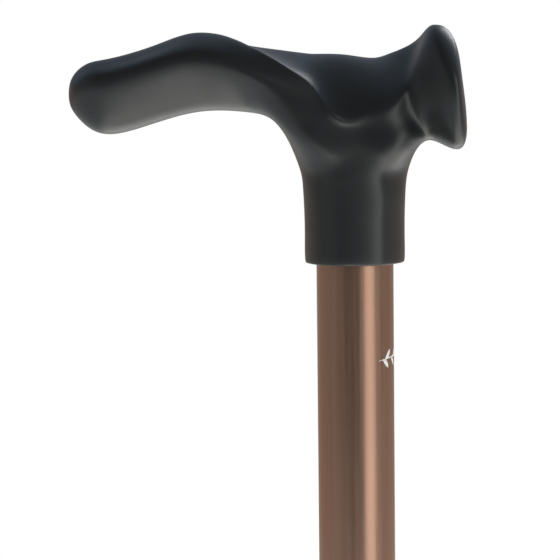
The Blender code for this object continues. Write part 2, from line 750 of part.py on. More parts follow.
def make_hub(bolt_hole):
    """The cast hub: a socket for the shaft and a boss for each leg."""
    hub = turned(
        "base_hub",
        [
            (0, HUB_TOP_Z),
            (HUB_RADIUS - 1.5 * MM, HUB_TOP_Z),
            (HUB_RADIUS, HUB_TOP_Z - 1.5 * MM),
            (HUB_RADIUS, HUB_BOTTOM_Z + 4 * MM),
            (HUB_RADIUS - 4 * MM, HUB_BOTTOM_Z),
            (0, HUB_BOTTOM_Z),
        ],
        TUBE_STEPS,
    )
    add_piece(hub, POWDER_COAT, STAND)
    for name, x, y in foot_places():
        turn = (0, math.radians(90), math.atan2(y, x))
        boss = rod(f"boss_{name}", BOSS_RADIUS, 6 * MM, BOSS_REACH, 20)
        boolean(hub, add_cutter(boss, STAND, (0, 0, LEG_Z), turn), "UNION")
    for name, x, y in foot_places():
        turn = (0, math.radians(90), math.atan2(y, x))
        socket = rod(f"socket_{name}", LEG_RADIUS + GAP, SOCKET_START, 60 * MM, 16)
        boolean(hub, add_cutter(socket, STAND, (0, 0, LEG_Z), turn))
        hole = rod(f"leg_screw_hole_{name}", 2.8 * MM, 0, 14 * MM, 12)
        boolean(hub, add_cutter(hole, STAND, leg_screw_place(x, y, 68 * MM)))
    bore = rod("hub_bore", LOWER_RADIUS + GAP, HUB_BOTTOM_Z + HUB_FLOOR, 160 * MM, TUBE_STEPS)
    boolean(hub, add_cutter(bore, STAND))
    for side in (-1, 1):
        centre = (side * (HUB_FLAT_X + 5 * MM), 0, BOLT_Z)
        flat = block(f"hub_flat_{side}", (10 * MM, 60 * MM, 20 * MM), centre)
        boolean(hub, add_cutter(flat, STAND))
    boolean(hub, bolt_hole)


def leg_screw_place(x, y, height):
    distance = math.hypot(x, y)
    return (x / distance * LEG_SCREW_REACH, y / distance * LEG_SCREW_REACH, height)


def make_leg(name, x, y):
    """A bent tube from the hub's socket out and down to its rubber tip."""
    reach = math.hypot(x, y)
    route = [(SOCKET_START + 0.5 * MM, LEG_Z)]
    route += arc((reach - LEG_BEND, LEG_Z - LEG_BEND), LEG_BEND, 90, 0, 6)
    route += [(reach, LEG_END_Z)]
    curve = bpy.data.curves.new(f"leg_{name}", "CURVE")
    curve.dimensions = "3D"
    curve.bevel_depth = LEG_RADIUS
    curve.bevel_resolution = 4
    spline = curve.splines.new("POLY")
    spline.points.add(len(route) - 1)
    for point, (distance, height) in zip(spline.points, route):
        point.co = (distance, 0, height, 1)
    leg = solid_from_curve(f"leg_{name}", curve)
    wall = leg.modifiers.new("wall", "SOLIDIFY")
    wall.thickness = LEG_WALL
    wall.offset = -1.0
    add_piece(leg, POWDER_COAT, STAND, (0, 0, 0), (0, 0, math.atan2(y, x)))


def make_leg_screw(name, x, y):
    shank = LEG_RADIUS + GAP  # from the leg's centre line to the screw's point
    top = LEG_Z - shank
    seat = LEG_Z - BOSS_RADIUS - GAP
    screw = turned(
        f"leg_screw_{name}",
        [
            (0, top),
            (2.5 * MM, top),
            (2.5 * MM, seat),
            (4.6 * MM, seat),
            (4.2 * MM, seat - 1.6 * MM),
            (2.6 * MM, seat - 2.8 * MM),
            (0, seat - 2.8 * MM),
        ],
        16,
    )
    add_piece(screw, ZINC, STAND, leg_screw_place(x, y, 0))
    drive = rod(f"leg_screw_drive_{name}", 1.7 * MM, seat - 5 * MM, seat - 1.2 * MM, 6)
    boolean(screw, add_cutter(drive, STAND, leg_screw_place(x, y, 0)))


def make_tip(name, x, y):
    """A flared rubber tip, its tread groove and the steel disc inside it."""
    bore = LEG_RADIUS + GAP
    tip = turned(
        f"tip_{name}",
        [
            (bore, TIP_HEIGHT),
            (10.6 * MM, TIP_HEIGHT),
            (11.6 * MM, TIP_HEIGHT - 1.2 * MM),
            (11.6 * MM, TIP_HEIGHT - 5.0 * MM),
            (11.0 * MM, 16.0 * MM),
            (13.2 * MM, 9.0 * MM),
            (TIP_RADIUS, 3.6 * MM),
            (TIP_RADIUS, 1.0 * MM),
            (TIP_RADIUS - 1.0 * MM, 0),
            (12.0 * MM, 0),
            (11.2 * MM, 1.4 * MM),
            (9.8 * MM, 1.4 * MM),
            (9.0 * MM, 0),
            (0, 0),
        ],
    )
    close_on_axis(tip, (bore, TIP_FLOOR))
    add_piece(tip, RUBBER, STAND, (x, y, 0))
    low = TIP_FLOOR + GAP
    disc = turned(
        f"tip_disc_{name}",
        [
            (0, low + TIP_PLATE),
            (7.2 * MM, low + TIP_PLATE),
            (7.8 * MM, low + TIP_PLATE - 0.6 * MM),
            (7.8 * MM, low),
            (0, low),
        ],
        20,
    )
    add_piece(disc, ZINC, STAND, (x, y, 0))


def close_on_axis(obj, corner):
    """Adds a blind bore's wall and floor before a turned profile's first point."""
    bm = bmesh.new()
    bm.from_mesh(obj.data)
    bm.verts.ensure_lookup_table()
    first = bm.verts[0]
    wall = bm.verts.new((corner[0], 0, corner[1]))
    floor = bm.verts.new((0, 0, corner[1]))
    bm.edges.new((floor, wall))
    bm.edges.new((wall, first))
    bm.to_mesh(obj.data)
    bm.free()


def make_cross_bolt():
    """The bolt that holds the shaft in the hub, with its washers and nut."""
    washer_start = HUB_FLAT_X + GAP
    washer_end = washer_start + 1.2 * MM
    head_start = washer_end + GAP
    for name, side in (("rear", 1), ("front", -1)):
        profile = pipe_profile(6.2 * MM, 3.3 * MM, washer_start, washer_end, 0.2 * MM)
        washer = turned(f"bolt_washer_{name}", profile, PIECE_STEPS, ring=True)
        turn = (0, side * math.radians(90), 0)
        add_piece(washer, ZINC, STAND, (0, 0, BOLT_Z), turn)
    bolt = turned(
        "cross_bolt",
        [
            (0, head_start + 4 * MM),
            (4.8 * MM, head_start + 4 * MM),
            (5.6 * MM, head_start + 3.2 * MM),
            (5.6 * MM, head_start),
            (3.0 * MM, head_start),
            (3.0 * MM, -head_start - 7.2 * MM),
            (2.4 * MM, -head_start - 8.0 * MM),
            (0, -head_start - 8.0 * MM),
        ],
    )
    add_piece(bolt, ZINC, STAND, (0, 0, BOLT_Z), CROSSWAYS)
    drive = rod("bolt_drive", 2.9 * MM, head_start + 1.6 * MM, head_start + 8 * MM, 6)
    boolean(bolt, add_cutter(drive, STAND, (0, 0, BOLT_Z), CROSSWAYS))
    nut = rod("bolt_nut", 5.7 * MM, head_start, head_start + 5.4 * MM, 6)
    add_piece(nut, ZINC, STAND, (0, 0, BOLT_Z), (0, math.radians(-90), 0))
    hole = rod("nut_hole", 3.3 * MM, head_start - 2 * MM, head_start + 8 * MM, 16)
    boolean(nut, add_cutter(hole, STAND, (0, 0, BOLT_Z), (0, math.radians(-90), 0)))


def make_base(bolt_hole):
    make_hub(bolt_hole)
    make_cross_bolt()
    for name, x, y in foot_places():
        make_leg(name, x, y)
        make_leg_screw(name, x, y)
        make_tip(name, x, y)


def make_cane():
    screw_hole = make_screw_hole()
    make_handle(screw_hole)
    make_handle_fixing(screw_hole)
    make_upper_tube(screw_hole)
    make_collar_sleeve()
    make_collar_ring()
    make_collar_nut()
    bolt_hole = make_lower_tube()
    make_guide_plug()
    make_snap_button()
    make_button_spring()
    make_base(bolt_hole)


make_cane()
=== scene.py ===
"""Looks of the quad walking cane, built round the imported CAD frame.

Every piece is made in the frame's own metres. The nose of the handle points to -X, the cane's
outer side is -Y and the camera looks along +Y. Millimetres are multiplied by MM. The handle's
own points, in millimetres, count from the shaft's axis and from its sleeve's lower rim.
"""

import json
import math
from collections import namedtuple

import bmesh
import bpy
import numpy as np
from mathutils import Matrix, Quaternion, Vector

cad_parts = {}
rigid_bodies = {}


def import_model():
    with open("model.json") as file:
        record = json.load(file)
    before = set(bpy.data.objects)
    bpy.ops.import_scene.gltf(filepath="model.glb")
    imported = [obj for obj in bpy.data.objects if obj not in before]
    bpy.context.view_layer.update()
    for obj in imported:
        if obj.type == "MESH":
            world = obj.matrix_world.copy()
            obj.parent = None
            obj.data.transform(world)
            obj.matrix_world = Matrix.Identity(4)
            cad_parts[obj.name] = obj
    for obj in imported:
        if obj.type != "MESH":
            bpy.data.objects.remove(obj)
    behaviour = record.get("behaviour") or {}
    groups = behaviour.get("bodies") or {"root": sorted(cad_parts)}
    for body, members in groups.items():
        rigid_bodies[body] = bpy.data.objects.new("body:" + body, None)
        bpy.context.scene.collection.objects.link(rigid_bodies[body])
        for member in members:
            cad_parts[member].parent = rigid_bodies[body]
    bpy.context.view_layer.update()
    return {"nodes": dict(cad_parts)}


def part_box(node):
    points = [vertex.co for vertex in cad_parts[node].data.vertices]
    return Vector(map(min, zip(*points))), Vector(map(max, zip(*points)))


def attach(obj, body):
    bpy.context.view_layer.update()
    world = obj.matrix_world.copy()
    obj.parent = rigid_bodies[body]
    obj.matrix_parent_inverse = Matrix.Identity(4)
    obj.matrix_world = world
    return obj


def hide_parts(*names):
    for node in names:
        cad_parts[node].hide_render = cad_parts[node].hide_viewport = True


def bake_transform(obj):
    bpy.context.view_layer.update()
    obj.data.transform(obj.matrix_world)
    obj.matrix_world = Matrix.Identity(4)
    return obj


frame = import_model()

MM = 0.001
NODES = frame["nodes"]


# ---- places read from the frame -----------------------------------------------------------
def middle_of(node):
    low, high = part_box(node)
    return (low + high) / 2


TUBE_LOW, TUBE_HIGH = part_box("upper_tube")
AXIS_X, AXIS_Y = middle_of("upper_tube").xy
UPPER_RADIUS = (TUBE_HIGH.x - TUBE_LOW.x) / 2
LOWER_LOW, LOWER_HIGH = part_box("lower_tube")
LOWER_RADIUS = (LOWER_HIGH.x - LOWER_LOW.x) / 2
HANDLE_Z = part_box("handle")[0].z
COLLAR_Z = TUBE_LOW.z
BUTTON_Z = middle_of("snap_button").z
HUB_LOW, HUB_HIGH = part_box("base_hub")
BOLT_Z = middle_of("cross_bolt").z
FEET = [
    name.removeprefix("tip_")
    for name in sorted(NODES)
    if name.startswith("tip_") and "disc" not in name
]

# ---- sizes the frame doesn't give by itself -----------------------------------------------
GAP = 0.3 * MM  # clearance between neighbouring pieces
CUT_EDGE = 0.3 * MM  # how round most cut edges are
UPPER_WALL = 1.2 * MM
HOLE_PITCH = 19 * MM
HOLES_EACH_WAY = 6
LOWER_WALL = 1.6 * MM
BUTTON_HOLE = 4.2 * MM
BUTTON_RADIUS = 3.9 * MM
BUTTON_TIP = 14.7 * MM
BUTTON_FLANGE = 7.0 * MM
BUTTON_FLANGE_RADIUS = 4.6 * MM
SPRING_THICKNESS = 0.6 * MM
SPRING_HALF_WIDTH = 3.6 * MM
SPRING_FRONT = -6.35 * MM
SPRING_REAR = 8.0 * MM
SPRING_BEND = 5.0 * MM
SPRING_BEND_Z = -32 * MM  # from the button's axis
BOLT_HOLE = 3.3 * MM
BOLT_SHANK = 3.0 * MM
BOLT_HEAD = 5.6 * MM
BOLT_HEAD_HEIGHT = 4 * MM
BOLT_OVERHANG = 8.0 * MM  # of its threaded end, past the washer
NUT_RADIUS = 5.7 * MM
NUT_HEIGHT = 5.4 * MM
WASHER_RADIUS = 6.2 * MM
WASHER_THICKNESS = 1.2 * MM
SCREW_HEIGHT = 18 * MM
SCREW_SEAT = 14.6 * MM
SCREW_HOLE = 2.3 * MM
SCREW_RECESS = 4.6 * MM
COLLAR_RIM = 17.4 * MM
COLLAR_THREAD = 15.2 * MM
COLLAR_TOP = 19.0 * MM
COLLAR_SHOULDER = 14.4 * MM
COLLAR_BOTTOM = -10 * MM
SLOT_WIDTH = 1.6 * MM
SLOT_HEIGHT = 8 * MM
NUT_LOBES = 16
HUB_RADIUS = 16.5 * MM
HUB_FLAT_X = 15.6 * MM
CAST_VOXEL = 0.8 * MM  # of the remesh that runs the castings together
CAST_SMOOTHING = 10  # rounds of it
BOSS_RADIUS = 12 * MM
BOSS_START = 6 * MM
BOSS_REACH = 44 * MM
SOCKET_START = 17 * MM
LEG_Z = 86 * MM
LEG_RADIUS = 8 * MM
LEG_WALL = 1.5 * MM
LEG_BEND = 38 * MM
LEG_SCREW_REACH = 32 * MM
LEG_SCREW_HOLE = 2.8 * MM
LEG_SCREW_SHANK = 2.5 * MM
LEG_SCREW_HEAD = 4.6 * MM
LEG_SCREW_HEAD_HEIGHT = 2.8 * MM
TIP_RADIUS = 17.5 * MM
ORNAMENT_DROP = 31 * MM  # below the handle sleeve's rim
ORNAMENT_START = math.radians(34)  # from the cane's outer side, towards its rear
ORNAMENT_LENGTH = 24 * MM
INK_HEIGHT = 0.04 * MM
LEAF_PAIRS = 5
LEAF_LENGTH = 4.0 * MM
LEAF_WIDTH = 1.5 * MM
LEAF_LEAN = math.radians(48)
STEM_WIDTH = 0.55 * MM

# ---- how finely round things are divided --------------------------------------------------
TUBE_STEPS = 192
HUB_STEPS = 96
TIP_STEPS = 96
BOLT_STEPS = 64
LEG_ROUND_STEPS = 48
SCREW_STEPS = 48
DRILL_STEPS = 48
HEX = 6
STEPS_PER_LOBE = 16
LEG_STEPS = 24
SPRING_STEPS = 12
STROKE_STEPS = 12
FILLET_SHARE = 0.48  # the most of an edge's length that a fillet takes
ON_AXIS = 1e-7  # a radius below this is a single point


# ---- mesh helpers -------------------------------------------------------------------------
def finish_mesh(name, bm, angle=35):
    """A mesh object of a bmesh, smooth but for edges sharper than the angle."""
    bmesh.ops.recalc_face_normals(bm, faces=bm.faces)
    mesh = bpy.data.meshes.new(name)
    bm.to_mesh(mesh)
    bm.free()
    mesh.shade_smooth()
    mesh.set_sharp_from_angle(angle=math.radians(angle))
    obj = bpy.data.objects.new(name, mesh)
    bpy.context.scene.collection.objects.link(obj)
    return obj


def rounded(corners, closed=False, steps=4):
    """Outline points from corners (radius, height, fillet): each fillet becomes a short arc."""
    points = []
    count = len(corners)
    for i, (radius, height, fillet) in enumerate(corners):
        corner = Vector((radius, height))
        if fillet == 0 or (not closed and i in (0, count - 1)):
            points.append(corner)
            continue
        before = Vector(corners[i - 1][:2]) - corner
        after = Vector(corners[(i + 1) % count][:2]) - corner
        reach = fillet / math.tan(before.angle(after) / 2)
        reach = min(reach, FILLET_SHARE * before.length, FILLET_SHARE * after.length)
        before = before.normalized() * reach
        after = after.normalized() * reach
        for step in range(steps + 1):
            t = step / steps
            points.append(corner + before * (1 - t) ** 2 + after * t**2)
    return points


def lathe(name, outline, place, steps=72, closed=False, angle=35):
    """An outline of (radius, height) points turned about Z, then put in its place by a matrix."""
    bm = bmesh.new()
    rows = []
    for radius, height in outline:
        if radius < ON_AXIS:
            rows.append([bm.verts.new((0, 0, height))] * steps)
            continue
        row = []
        for step in range(steps):
            turn = 2 * math.pi * step / steps
            row.append(bm.verts.new((radius * math.cos(turn), radius * math.sin(turn), height)))
        rows.append(row)
    pairs = list(zip(rows, rows[1:]))
    if closed:
        pairs.append((rows[-1], rows[0]))
    join_rows(bm, pairs, steps)
    bm.transform(place)
    return finish_mesh(name, bm, angle)


def join_rows(bm, pairs, steps):
    """Faces between pairs of closed rows; a row on the axis is one point many times."""
    for upper, lower in pairs:
        for i in range(steps):
            j = (i + 1) % steps
            loop = []
            for vert in (upper[i], upper[j], lower[j], lower[i]):
                if vert not in loop:
                    loop.append(vert)
            if len(loop) > 2:
                bm.faces.new(loop)


def prism(name, radius, start, end, place, sides=64):
    """A plain closed prism along Z, for cutting with."""
    return lathe(name, [(0, end), (radius, end), (radius, start), (0, start)], place, sides)


def drill(name, radius, start, end, place):
    """A round cutter whose ends, in millimetres, lie clear of the wall that it goes through."""
    return prism(name, radius, start * MM, end * MM, place, DRILL_STEPS)


def box_cutter(name, size, place):
    bm = bmesh.new()
    bmesh.ops.create_cube(bm, size=1.0, matrix=place @ Matrix.Diagonal((*size, 1.0)))
    return finish_mesh(name, bm)


def carve(obj, cutters, operation="DIFFERENCE", angle=35):
    """Cuts (or joins) the other objects into this one, for good, and takes them away."""
    for cutter in cutters:
        modifier = obj.modifiers.new("cut", "BOOLEAN")
        modifier.operation = operation
        modifier.solver = "EXACT"
        modifier.object = cutter
    settle(obj)
    for cutter in cutters:
        bpy.data.objects.remove(cutter, do_unlink=True)
    obj.data.set_sharp_from_angle(angle=math.radians(angle))
    return obj


def settle(obj):
    """Turns the object's modifiers into its mesh."""
    graph = bpy.context.evaluated_depsgraph_get()
    mesh = bpy.data.meshes.new_from_object(obj.evaluated_get(graph))
    old = obj.data
    obj.modifiers.clear()
    obj.data = mesh
    mesh.name = obj.name
    bpy.data.meshes.remove(old)
    mesh.shade_smooth()


def along_axis(z):
    """Matrix of a frame on the shaft's axis at a height."""
    return Matrix.Translation((AXIS_X, AXIS_Y, z))


OUTWARD = Matrix.Rotation(math.radians(90), 4, "X")  # local Z to -Y
INWARD = Matrix.Rotation(math.radians(-90), 4, "X")  # local Z to +Y
REARWARD = Matrix.Rotation(math.radians(90), 4, "Y")  # local Z to +X
FORWARD = Matrix.Rotation(math.radians(-90), 4, "Y")  # local Z to -X
SCREW_PLACE = along_axis(HANDLE_Z + SCREW_HEIGHT) @ INWARD
BUTTON_PLACE = along_axis(BUTTON_Z) @ OUTWARD
BOLT_PLACE = along_axis(BOLT_Z) @ REARWARD


# ---- material helpers ---------------------------------------------------------------------
def new_material(name, roughness, metallic=0.0, **sockets):
    material = bpy.data.materials.new(name)
    material.use_nodes = True
    shader = material.node_tree.nodes["Principled BSDF"]
    shader.inputs["Roughness"].default_value = roughness
    shader.inputs["Metallic"].default_value = metallic
    for socket, value in sockets.items():
        shader.inputs[socket.replace("_", " ")].default_value = value
    return material, material.node_tree, shader


def noise(tree, scale, detail=2.0, stretch=(1, 1, 1)):
    """Noise in object space; stretch multiplies its frequency along each axis."""
    place = tree.nodes.new("ShaderNodeTexCoord").outputs["Object"]
    mapping = tree.nodes.new("ShaderNodeMapping")
    mapping.inputs["Scale"].default_value = stretch
    tree.links.new(place, mapping.inputs["Vector"])
    texture = tree.nodes.new("ShaderNodeTexNoise")
    texture.inputs["Scale"].default_value = scale
    texture.inputs["Detail"].default_value = detail
    tree.links.new(mapping.outputs["Vector"], texture.inputs["Vector"])
    return texture.outputs["Fac"]


def remap(tree, value, low, high, new_low, new_high):
    """The value with low to high spread over new_low to new_high, and held at its ends."""
    node = tree.nodes.new("ShaderNodeMapRange")
    limits = {"From Min": low, "From Max": high, "To Min": new_low, "To Max": new_high}
    for socket, number in limits.items():
        node.inputs[socket].default_value = number
    tree.links.new(value, node.inputs["Value"])
    return node.outputs["Result"]


def blend_colours(tree, factor, first, second):
    """A colour between two, each a colour or another node's output."""
    node = tree.nodes.new("ShaderNodeMix")
    node.data_type = "RGBA"
    tree.links.new(factor, node.inputs["Factor"])
    for socket, colour in (("A", first), ("B", second)):
        target = [s for s in node.inputs if s.identifier == f"{socket}_Color"][0]
        if isinstance(colour, tuple):
            target.default_value = (*colour, 1.0)
        else:
            tree.links.new(colour, target)
    return [s for s in node.outputs if s.identifier == "Result_Color"][0]


def tint(tree, value, low, high, first, second):
    """The first colour up to the low value, the second from the high one, a mix between them."""
    return blend_colours(tree, remap(tree, value, low, high, 0, 1), first, second)


def vary_roughness(tree, shader, texture, low, high):
    """Roughness between two values, by a noise, most of which lies between 0.3 and 0.7."""
    tree.links.new(remap(tree, texture, 0.3, 0.7, low, high), shader.inputs["Roughness"])


def add_bump(tree, shader, height, strength, distance):
    """Adds a bump on top of those that the shader already has."""
    node = tree.nodes.new("ShaderNodeBump")
    node.inputs["Strength"].default_value = strength
    node.inputs["Distance"].default_value = distance
    tree.links.new(height, node.inputs["Height"])
    normal = shader.inputs["Normal"]
    if normal.is_linked:
        tree.links.new(normal.links[0].from_socket, node.inputs["Normal"])
    tree.links.new(node.outputs["Normal"], normal)


def specks(tree, spacing, size):
    """1 in sparse round specks, 0 elsewhere."""
    place = tree.nodes.new("ShaderNodeTexCoord").outputs["Object"]
    texture = tree.nodes.new("ShaderNodeTexVoronoi")
    texture.inputs["Scale"].default_value = 1 / spacing
    tree.links.new(place, texture.inputs["Vector"])
    return remap(tree, texture.outputs["Distance"], size / spacing, 0.6 * size / spacing, 0.0, 1.0)


# ---- materials ----------------------------------------------------------------------------
def make_moulded_black():
    """Satin, almost black moulded plastic of the handle, with a very fine grain and some dust."""
    material, tree, shader = new_material("moulded_black_look", 0.36, Specular_IOR_Level=0.5)
    dark = (0.0085, 0.0100, 0.0105)
    light = (0.0115, 0.0130, 0.0135)
    dust_grey = (0.30, 0.30, 0.28)
    colour = tint(tree, noise(tree, 45, 3), 0.35, 0.65, dark, light)
    dust = specks(tree, 17 * MM, 0.22 * MM)
    tree.links.new(blend_colours(tree, dust, colour, dust_grey), shader.inputs["Base Color"])
    vary_roughness(tree, shader, noise(tree, 160, 3), 0.335, 0.385)
    add_bump(tree, shader, noise(tree, 2600, 2), 0.10, 0.05 * MM)
    return material


def make_bronze():
    """Bronze anodised tube, with the fine lines of drawing along it."""
    material, tree, shader = new_material("bronze_anodised_look", 0.30, 0.92, Specular_IOR_Level=0.5)
    lines = noise(tree, 900, 2, (1, 1, 0.02))
    cloud = noise(tree, 30, 3, (1, 1, 0.4))
    dark = (0.315, 0.185, 0.128)
    light = (0.345, 0.205, 0.145)
    line_colour = (0.40, 0.25, 0.18)
    base = tint(tree, cloud, 0.35, 0.65, dark, light)
    fine = remap(tree, lines, 0.3, 0.7, 0.0, 0.35)
    tree.links.new(blend_colours(tree, fine, base, line_colour), shader.inputs["Base Color"])
    vary_roughness(tree, shader, lines, 0.26, 0.34)
    add_bump(tree, shader, lines, 0.06, 0.02 * MM)
    return material


def make_black_plastic():
    """Spark-textured moulded plastic of the collar."""
    material, tree, shader = new_material("black_plastic_look", 0.5)
    grain = noise(tree, 1500, 3)
    colour = tint(tree, grain, 0.35, 0.65, (0.014, 0.014, 0.015), (0.021, 0.021, 0.022))
    tree.links.new(colour, shader.inputs["Base Color"])
    vary_roughness(tree, shader, noise(tree, 90, 2), 0.44, 0.56)
    add_bump(tree, shader, grain, 0.35, 0.08 * MM)
    return material


def make_nylon():
    """Grey nylon of the plugs and the thrust ring."""
    material, tree, shader = new_material("grey_nylon_look", 0.5)
    cloud = noise(tree, 120, 3)
    colour = blend_colours(tree, cloud, (0.36, 0.36, 0.34), (0.46, 0.46, 0.44))
    tree.links.new(colour, shader.inputs["Base Color"])
    vary_roughness(tree, shader, cloud, 0.45, 0.6)
    add_bump(tree, shader, noise(tree, 1200, 2), 0.15, 0.05 * MM)
    return material


def make_powder_coat():
    """Semi-matt powder coat: a soft orange peel over a fine grain."""
    material, tree, shader = new_material("black_powder_coat_look", 0.42, Specular_IOR_Level=0.5)
    grain = noise(tree, 1400, 2)
    colour = tint(tree, grain, 0.4, 0.6, (0.018, 0.018, 0.019), (0.026, 0.026, 0.027))
    tree.links.new(colour, shader.inputs["Base Color"])
    vary_roughness(tree, shader, noise(tree, 110, 3), 0.37, 0.47)
    add_bump(tree, shader, noise(tree, 520, 2), 0.18, 0.10 * MM)
    add_bump(tree, shader, grain, 0.12, 0.03 * MM)
    return material


def make_rubber():
    """Matt moulded rubber with a little bloom and dust."""
    material, tree, shader = new_material("black_rubber_look", 0.8, Specular_IOR_Level=0.35)
    bloom = noise(tree, 60, 4)
    colour = tint(tree, bloom, 0.35, 0.7, (0.022, 0.021, 0.020), (0.044, 0.042, 0.040))
    tree.links.new(colour, shader.inputs["Base Color"])
    vary_roughness(tree, shader, bloom, 0.7, 0.88)
    add_bump(tree, shader, noise(tree, 900, 3), 0.25, 0.08 * MM)
    return material


def make_zinc():
    """Bright zinc plating, a little cloudy."""
    material, tree, shader = new_material("zinc_plated_steel_look", 0.3, 1.0)
    cloud = noise(tree, 260, 3)
    colour = tint(tree, cloud, 0.35, 0.65, (0.55, 0.56, 0.58), (0.68, 0.68, 0.67))
    tree.links.new(colour, shader.inputs["Base Color"])
    vary_roughness(tree, shader, cloud, 0.24, 0.38)
    add_bump(tree, shader, noise(tree, 1600, 2), 0.10, 0.03 * MM)
    return material


def make_spring_steel():
    """Rolled spring strip, with fine lines along it."""
    material, tree, shader = new_material("spring_steel_look", 0.3, 1.0)
    lines = noise(tree, 700, 2, (1, 1, 0.05))
    colour = blend_colours(tree, lines, (0.40, 0.41, 0.44), (0.52, 0.52, 0.54))
    tree.links.new(colour, shader.inputs["Base Color"])
    vary_roughness(tree, shader, lines, 0.25, 0.36)
    add_bump(tree, shader, lines, 0.08, 0.02 * MM)
    return material


def make_ink():
    """White printing ink, slightly thin in places."""
    material, tree, shader = new_material("white_ink", 0.45)
    cover = noise(tree, 900, 3)
    colour = tint(tree, cover, 0.35, 0.6, (0.66, 0.64, 0.61), (0.84, 0.83, 0.81))
    tree.links.new(colour, shader.inputs["Base Color"])
    vary_roughness(tree, shader, cover, 0.4, 0.55)
    add_bump(tree, shader, cover, 0.1, 0.02 * MM)
    return material


MOULDED_BLACK = make_moulded_black()
BRONZE = make_bronze()
BLACK_PLASTIC = make_black_plastic()
NYLON = make_nylon()
POWDER_COAT = make_powder_coat()
RUBBER = make_rubber()
ZINC = make_zinc()
SPRING_STEEL = make_spring_steel()
INK = make_ink()


# ---- pieces and the CAD nodes they stand for ----------------------------------------------
def body_of_node(node):
    return NODES[node].parent.name.split(":", 1)[1]


def stand_for(obj, node, material):
    """Gives a new piece its material and body, in the place of a CAD node."""
    obj.data.materials.clear()
    obj.data.materials.append(material)
    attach(obj, body_of_node(node))
    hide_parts(node)
    return obj


def keep_node(node, material):
    """Leaves a CAD node showing, with a better material."""
    mesh = NODES[node].data
    if not mesh.materials:
        mesh.materials.append(material)
    for i in range(len(mesh.materials)):
        mesh.materials[i] = material


# ---- handle -------------------------------------------------------------------------------
# One ring of the handle, in millimetres from the shaft's axis and the sleeve's lower rim.
# x_low and x_top are its X at the bottom and at the top, so a ring can lean; low is its
# underside; (ridge_y, ridge_z) is the near end of the palm surface and (edge_y, edge_z) the far
# end; dip is how far the palm surface sags between the two, and is negative where the top is
# crowned; near and far are the widest points of the sides; shift moves the near side along X;
# side is the shape of the sides, down from the ridge: part of the half width, and part of the
# way to the underside.
Ring = namedtuple("Ring", "x_low x_top low ridge_y ridge_z edge_y edge_z dip near far shift side")


def bulge(swell, slope):
    """A side that is widest at swell, part of the way down, and draws in below it by its slope."""
    rest = 1 - swell
    return ((1.0, swell), (1.0 - slope, swell + 0.46 * rest), (0.80 - 2 * slope, swell + 0.85 * rest))


OVAL = ((0.97, 0.30), (0.95, 0.62), (0.58, 0.90))
OPEN = ((0.98, 0.32), (0.98, 0.66), (0.72, 0.95))
LEANING = ((0.95, 0.33), (0.99, 0.62), (0.99, 0.90))
STRAIGHT = ((1.0, 0.28), (1.0, 0.58), (0.99, 0.90))

NOSE = (
    Ring(-90.4, -91.4, 48.6, -4.0, 61.0, 4.4, 61.0, -1.5, -6.6, 7.2, 0, bulge(0.25, 0.15)),
    Ring(-85.6, -86.6, 44.4, -6.0, 64.0, 6.8, 64.0, -2.3, -10.2, 11.5, 0, bulge(0.20, 0.14)),
    Ring(-77.6, -79.0, 43.2, -6.6, 65.5, 7.6, 65.5, -2.4, -11.8, 13.0, 0, bulge(0.18, 0.13)),
    Ring(-65.5, -65.5, 46.4, -7.0, 69.3, 7.8, 69.1, -2.5, -13.0, 13.6, 0, bulge(0.17, 0.15)),
    Ring(-54.0, -53.0, 49.5, -7.4, 73.3, 8.0, 72.6, -2.7, -14.2, 14.0, 0, bulge(0.22, 0.17)),
    Ring(-44.0, -42.0, 50.4, -8.0, 73.2, 9.4, 71.6, -2.2, -15.2, 14.6, 0, bulge(0.28, 0.17)),
    Ring(-34.5, -33.5, 49.7, -9.8, 70.6, 11.4, 71.0, -0.2, -16.2, 15.4, 0, bulge(0.36, 0.17)),
)
NECK = (
    Ring(-25.0, -18.5, 45.6, -13.4, 63.0, 13.0, 69.2, -0.4, -16.4, 16.2, 0, OPEN),
    Ring(-12.5, -12.0, 36.0, -15.2, 55.8, 13.6, 68.2, -3.6, -16.8, 16.8, 0, STRAIGHT),
    Ring(-4.0, -3.4, 34.5, -16.2, 49.2, 14.2, 67.2, -7.0, -16.9, 16.9, 0, STRAIGHT),
    Ring(6.0, 6.0, 34.5, -14.4, 52.5, 14.4, 66.2, -4.8, -16.9, 16.8, 0, LEANING),
    Ring(21.5, 12.0, 38.3, -12.6, 55.0, 14.0, 67.8, -3.4, -15.8, 16.2, -4.0, LEANING),
)
TAIL = (
    Ring(26.5, 18.6, 39.8, -7.4, 63.0, 10.4, 70.6, -1.8, -10.6, 14.8, -5.0, OPEN),
    Ring(30.4, 24.0, 37.9, -9.8, 71.8, 9.8, 73.2, -3.2, -15.8, 16.6, -2.5, OPEN),
    Ring(33.6, 27.8, 37.0, -11.2, 73.9, 10.8, 74.3, -3.4, -19.8, 18.8, -1.2, OPEN),
    Ring(35.8, 32.3, 39.6, -10.0, 71.1, 9.8, 71.5, -2.9, -17.8, 17.0, 0, OPEN),
)
# The two points on the surface that close each end, beyond its last ring.
NOSE_CAP = ((-93.2, 0.0, 57.2), (-92.8, 0.0, 52.6))
TAIL_CAP = ((34.6, 0.0, 62.0), (36.3, 0.0, 50.0))
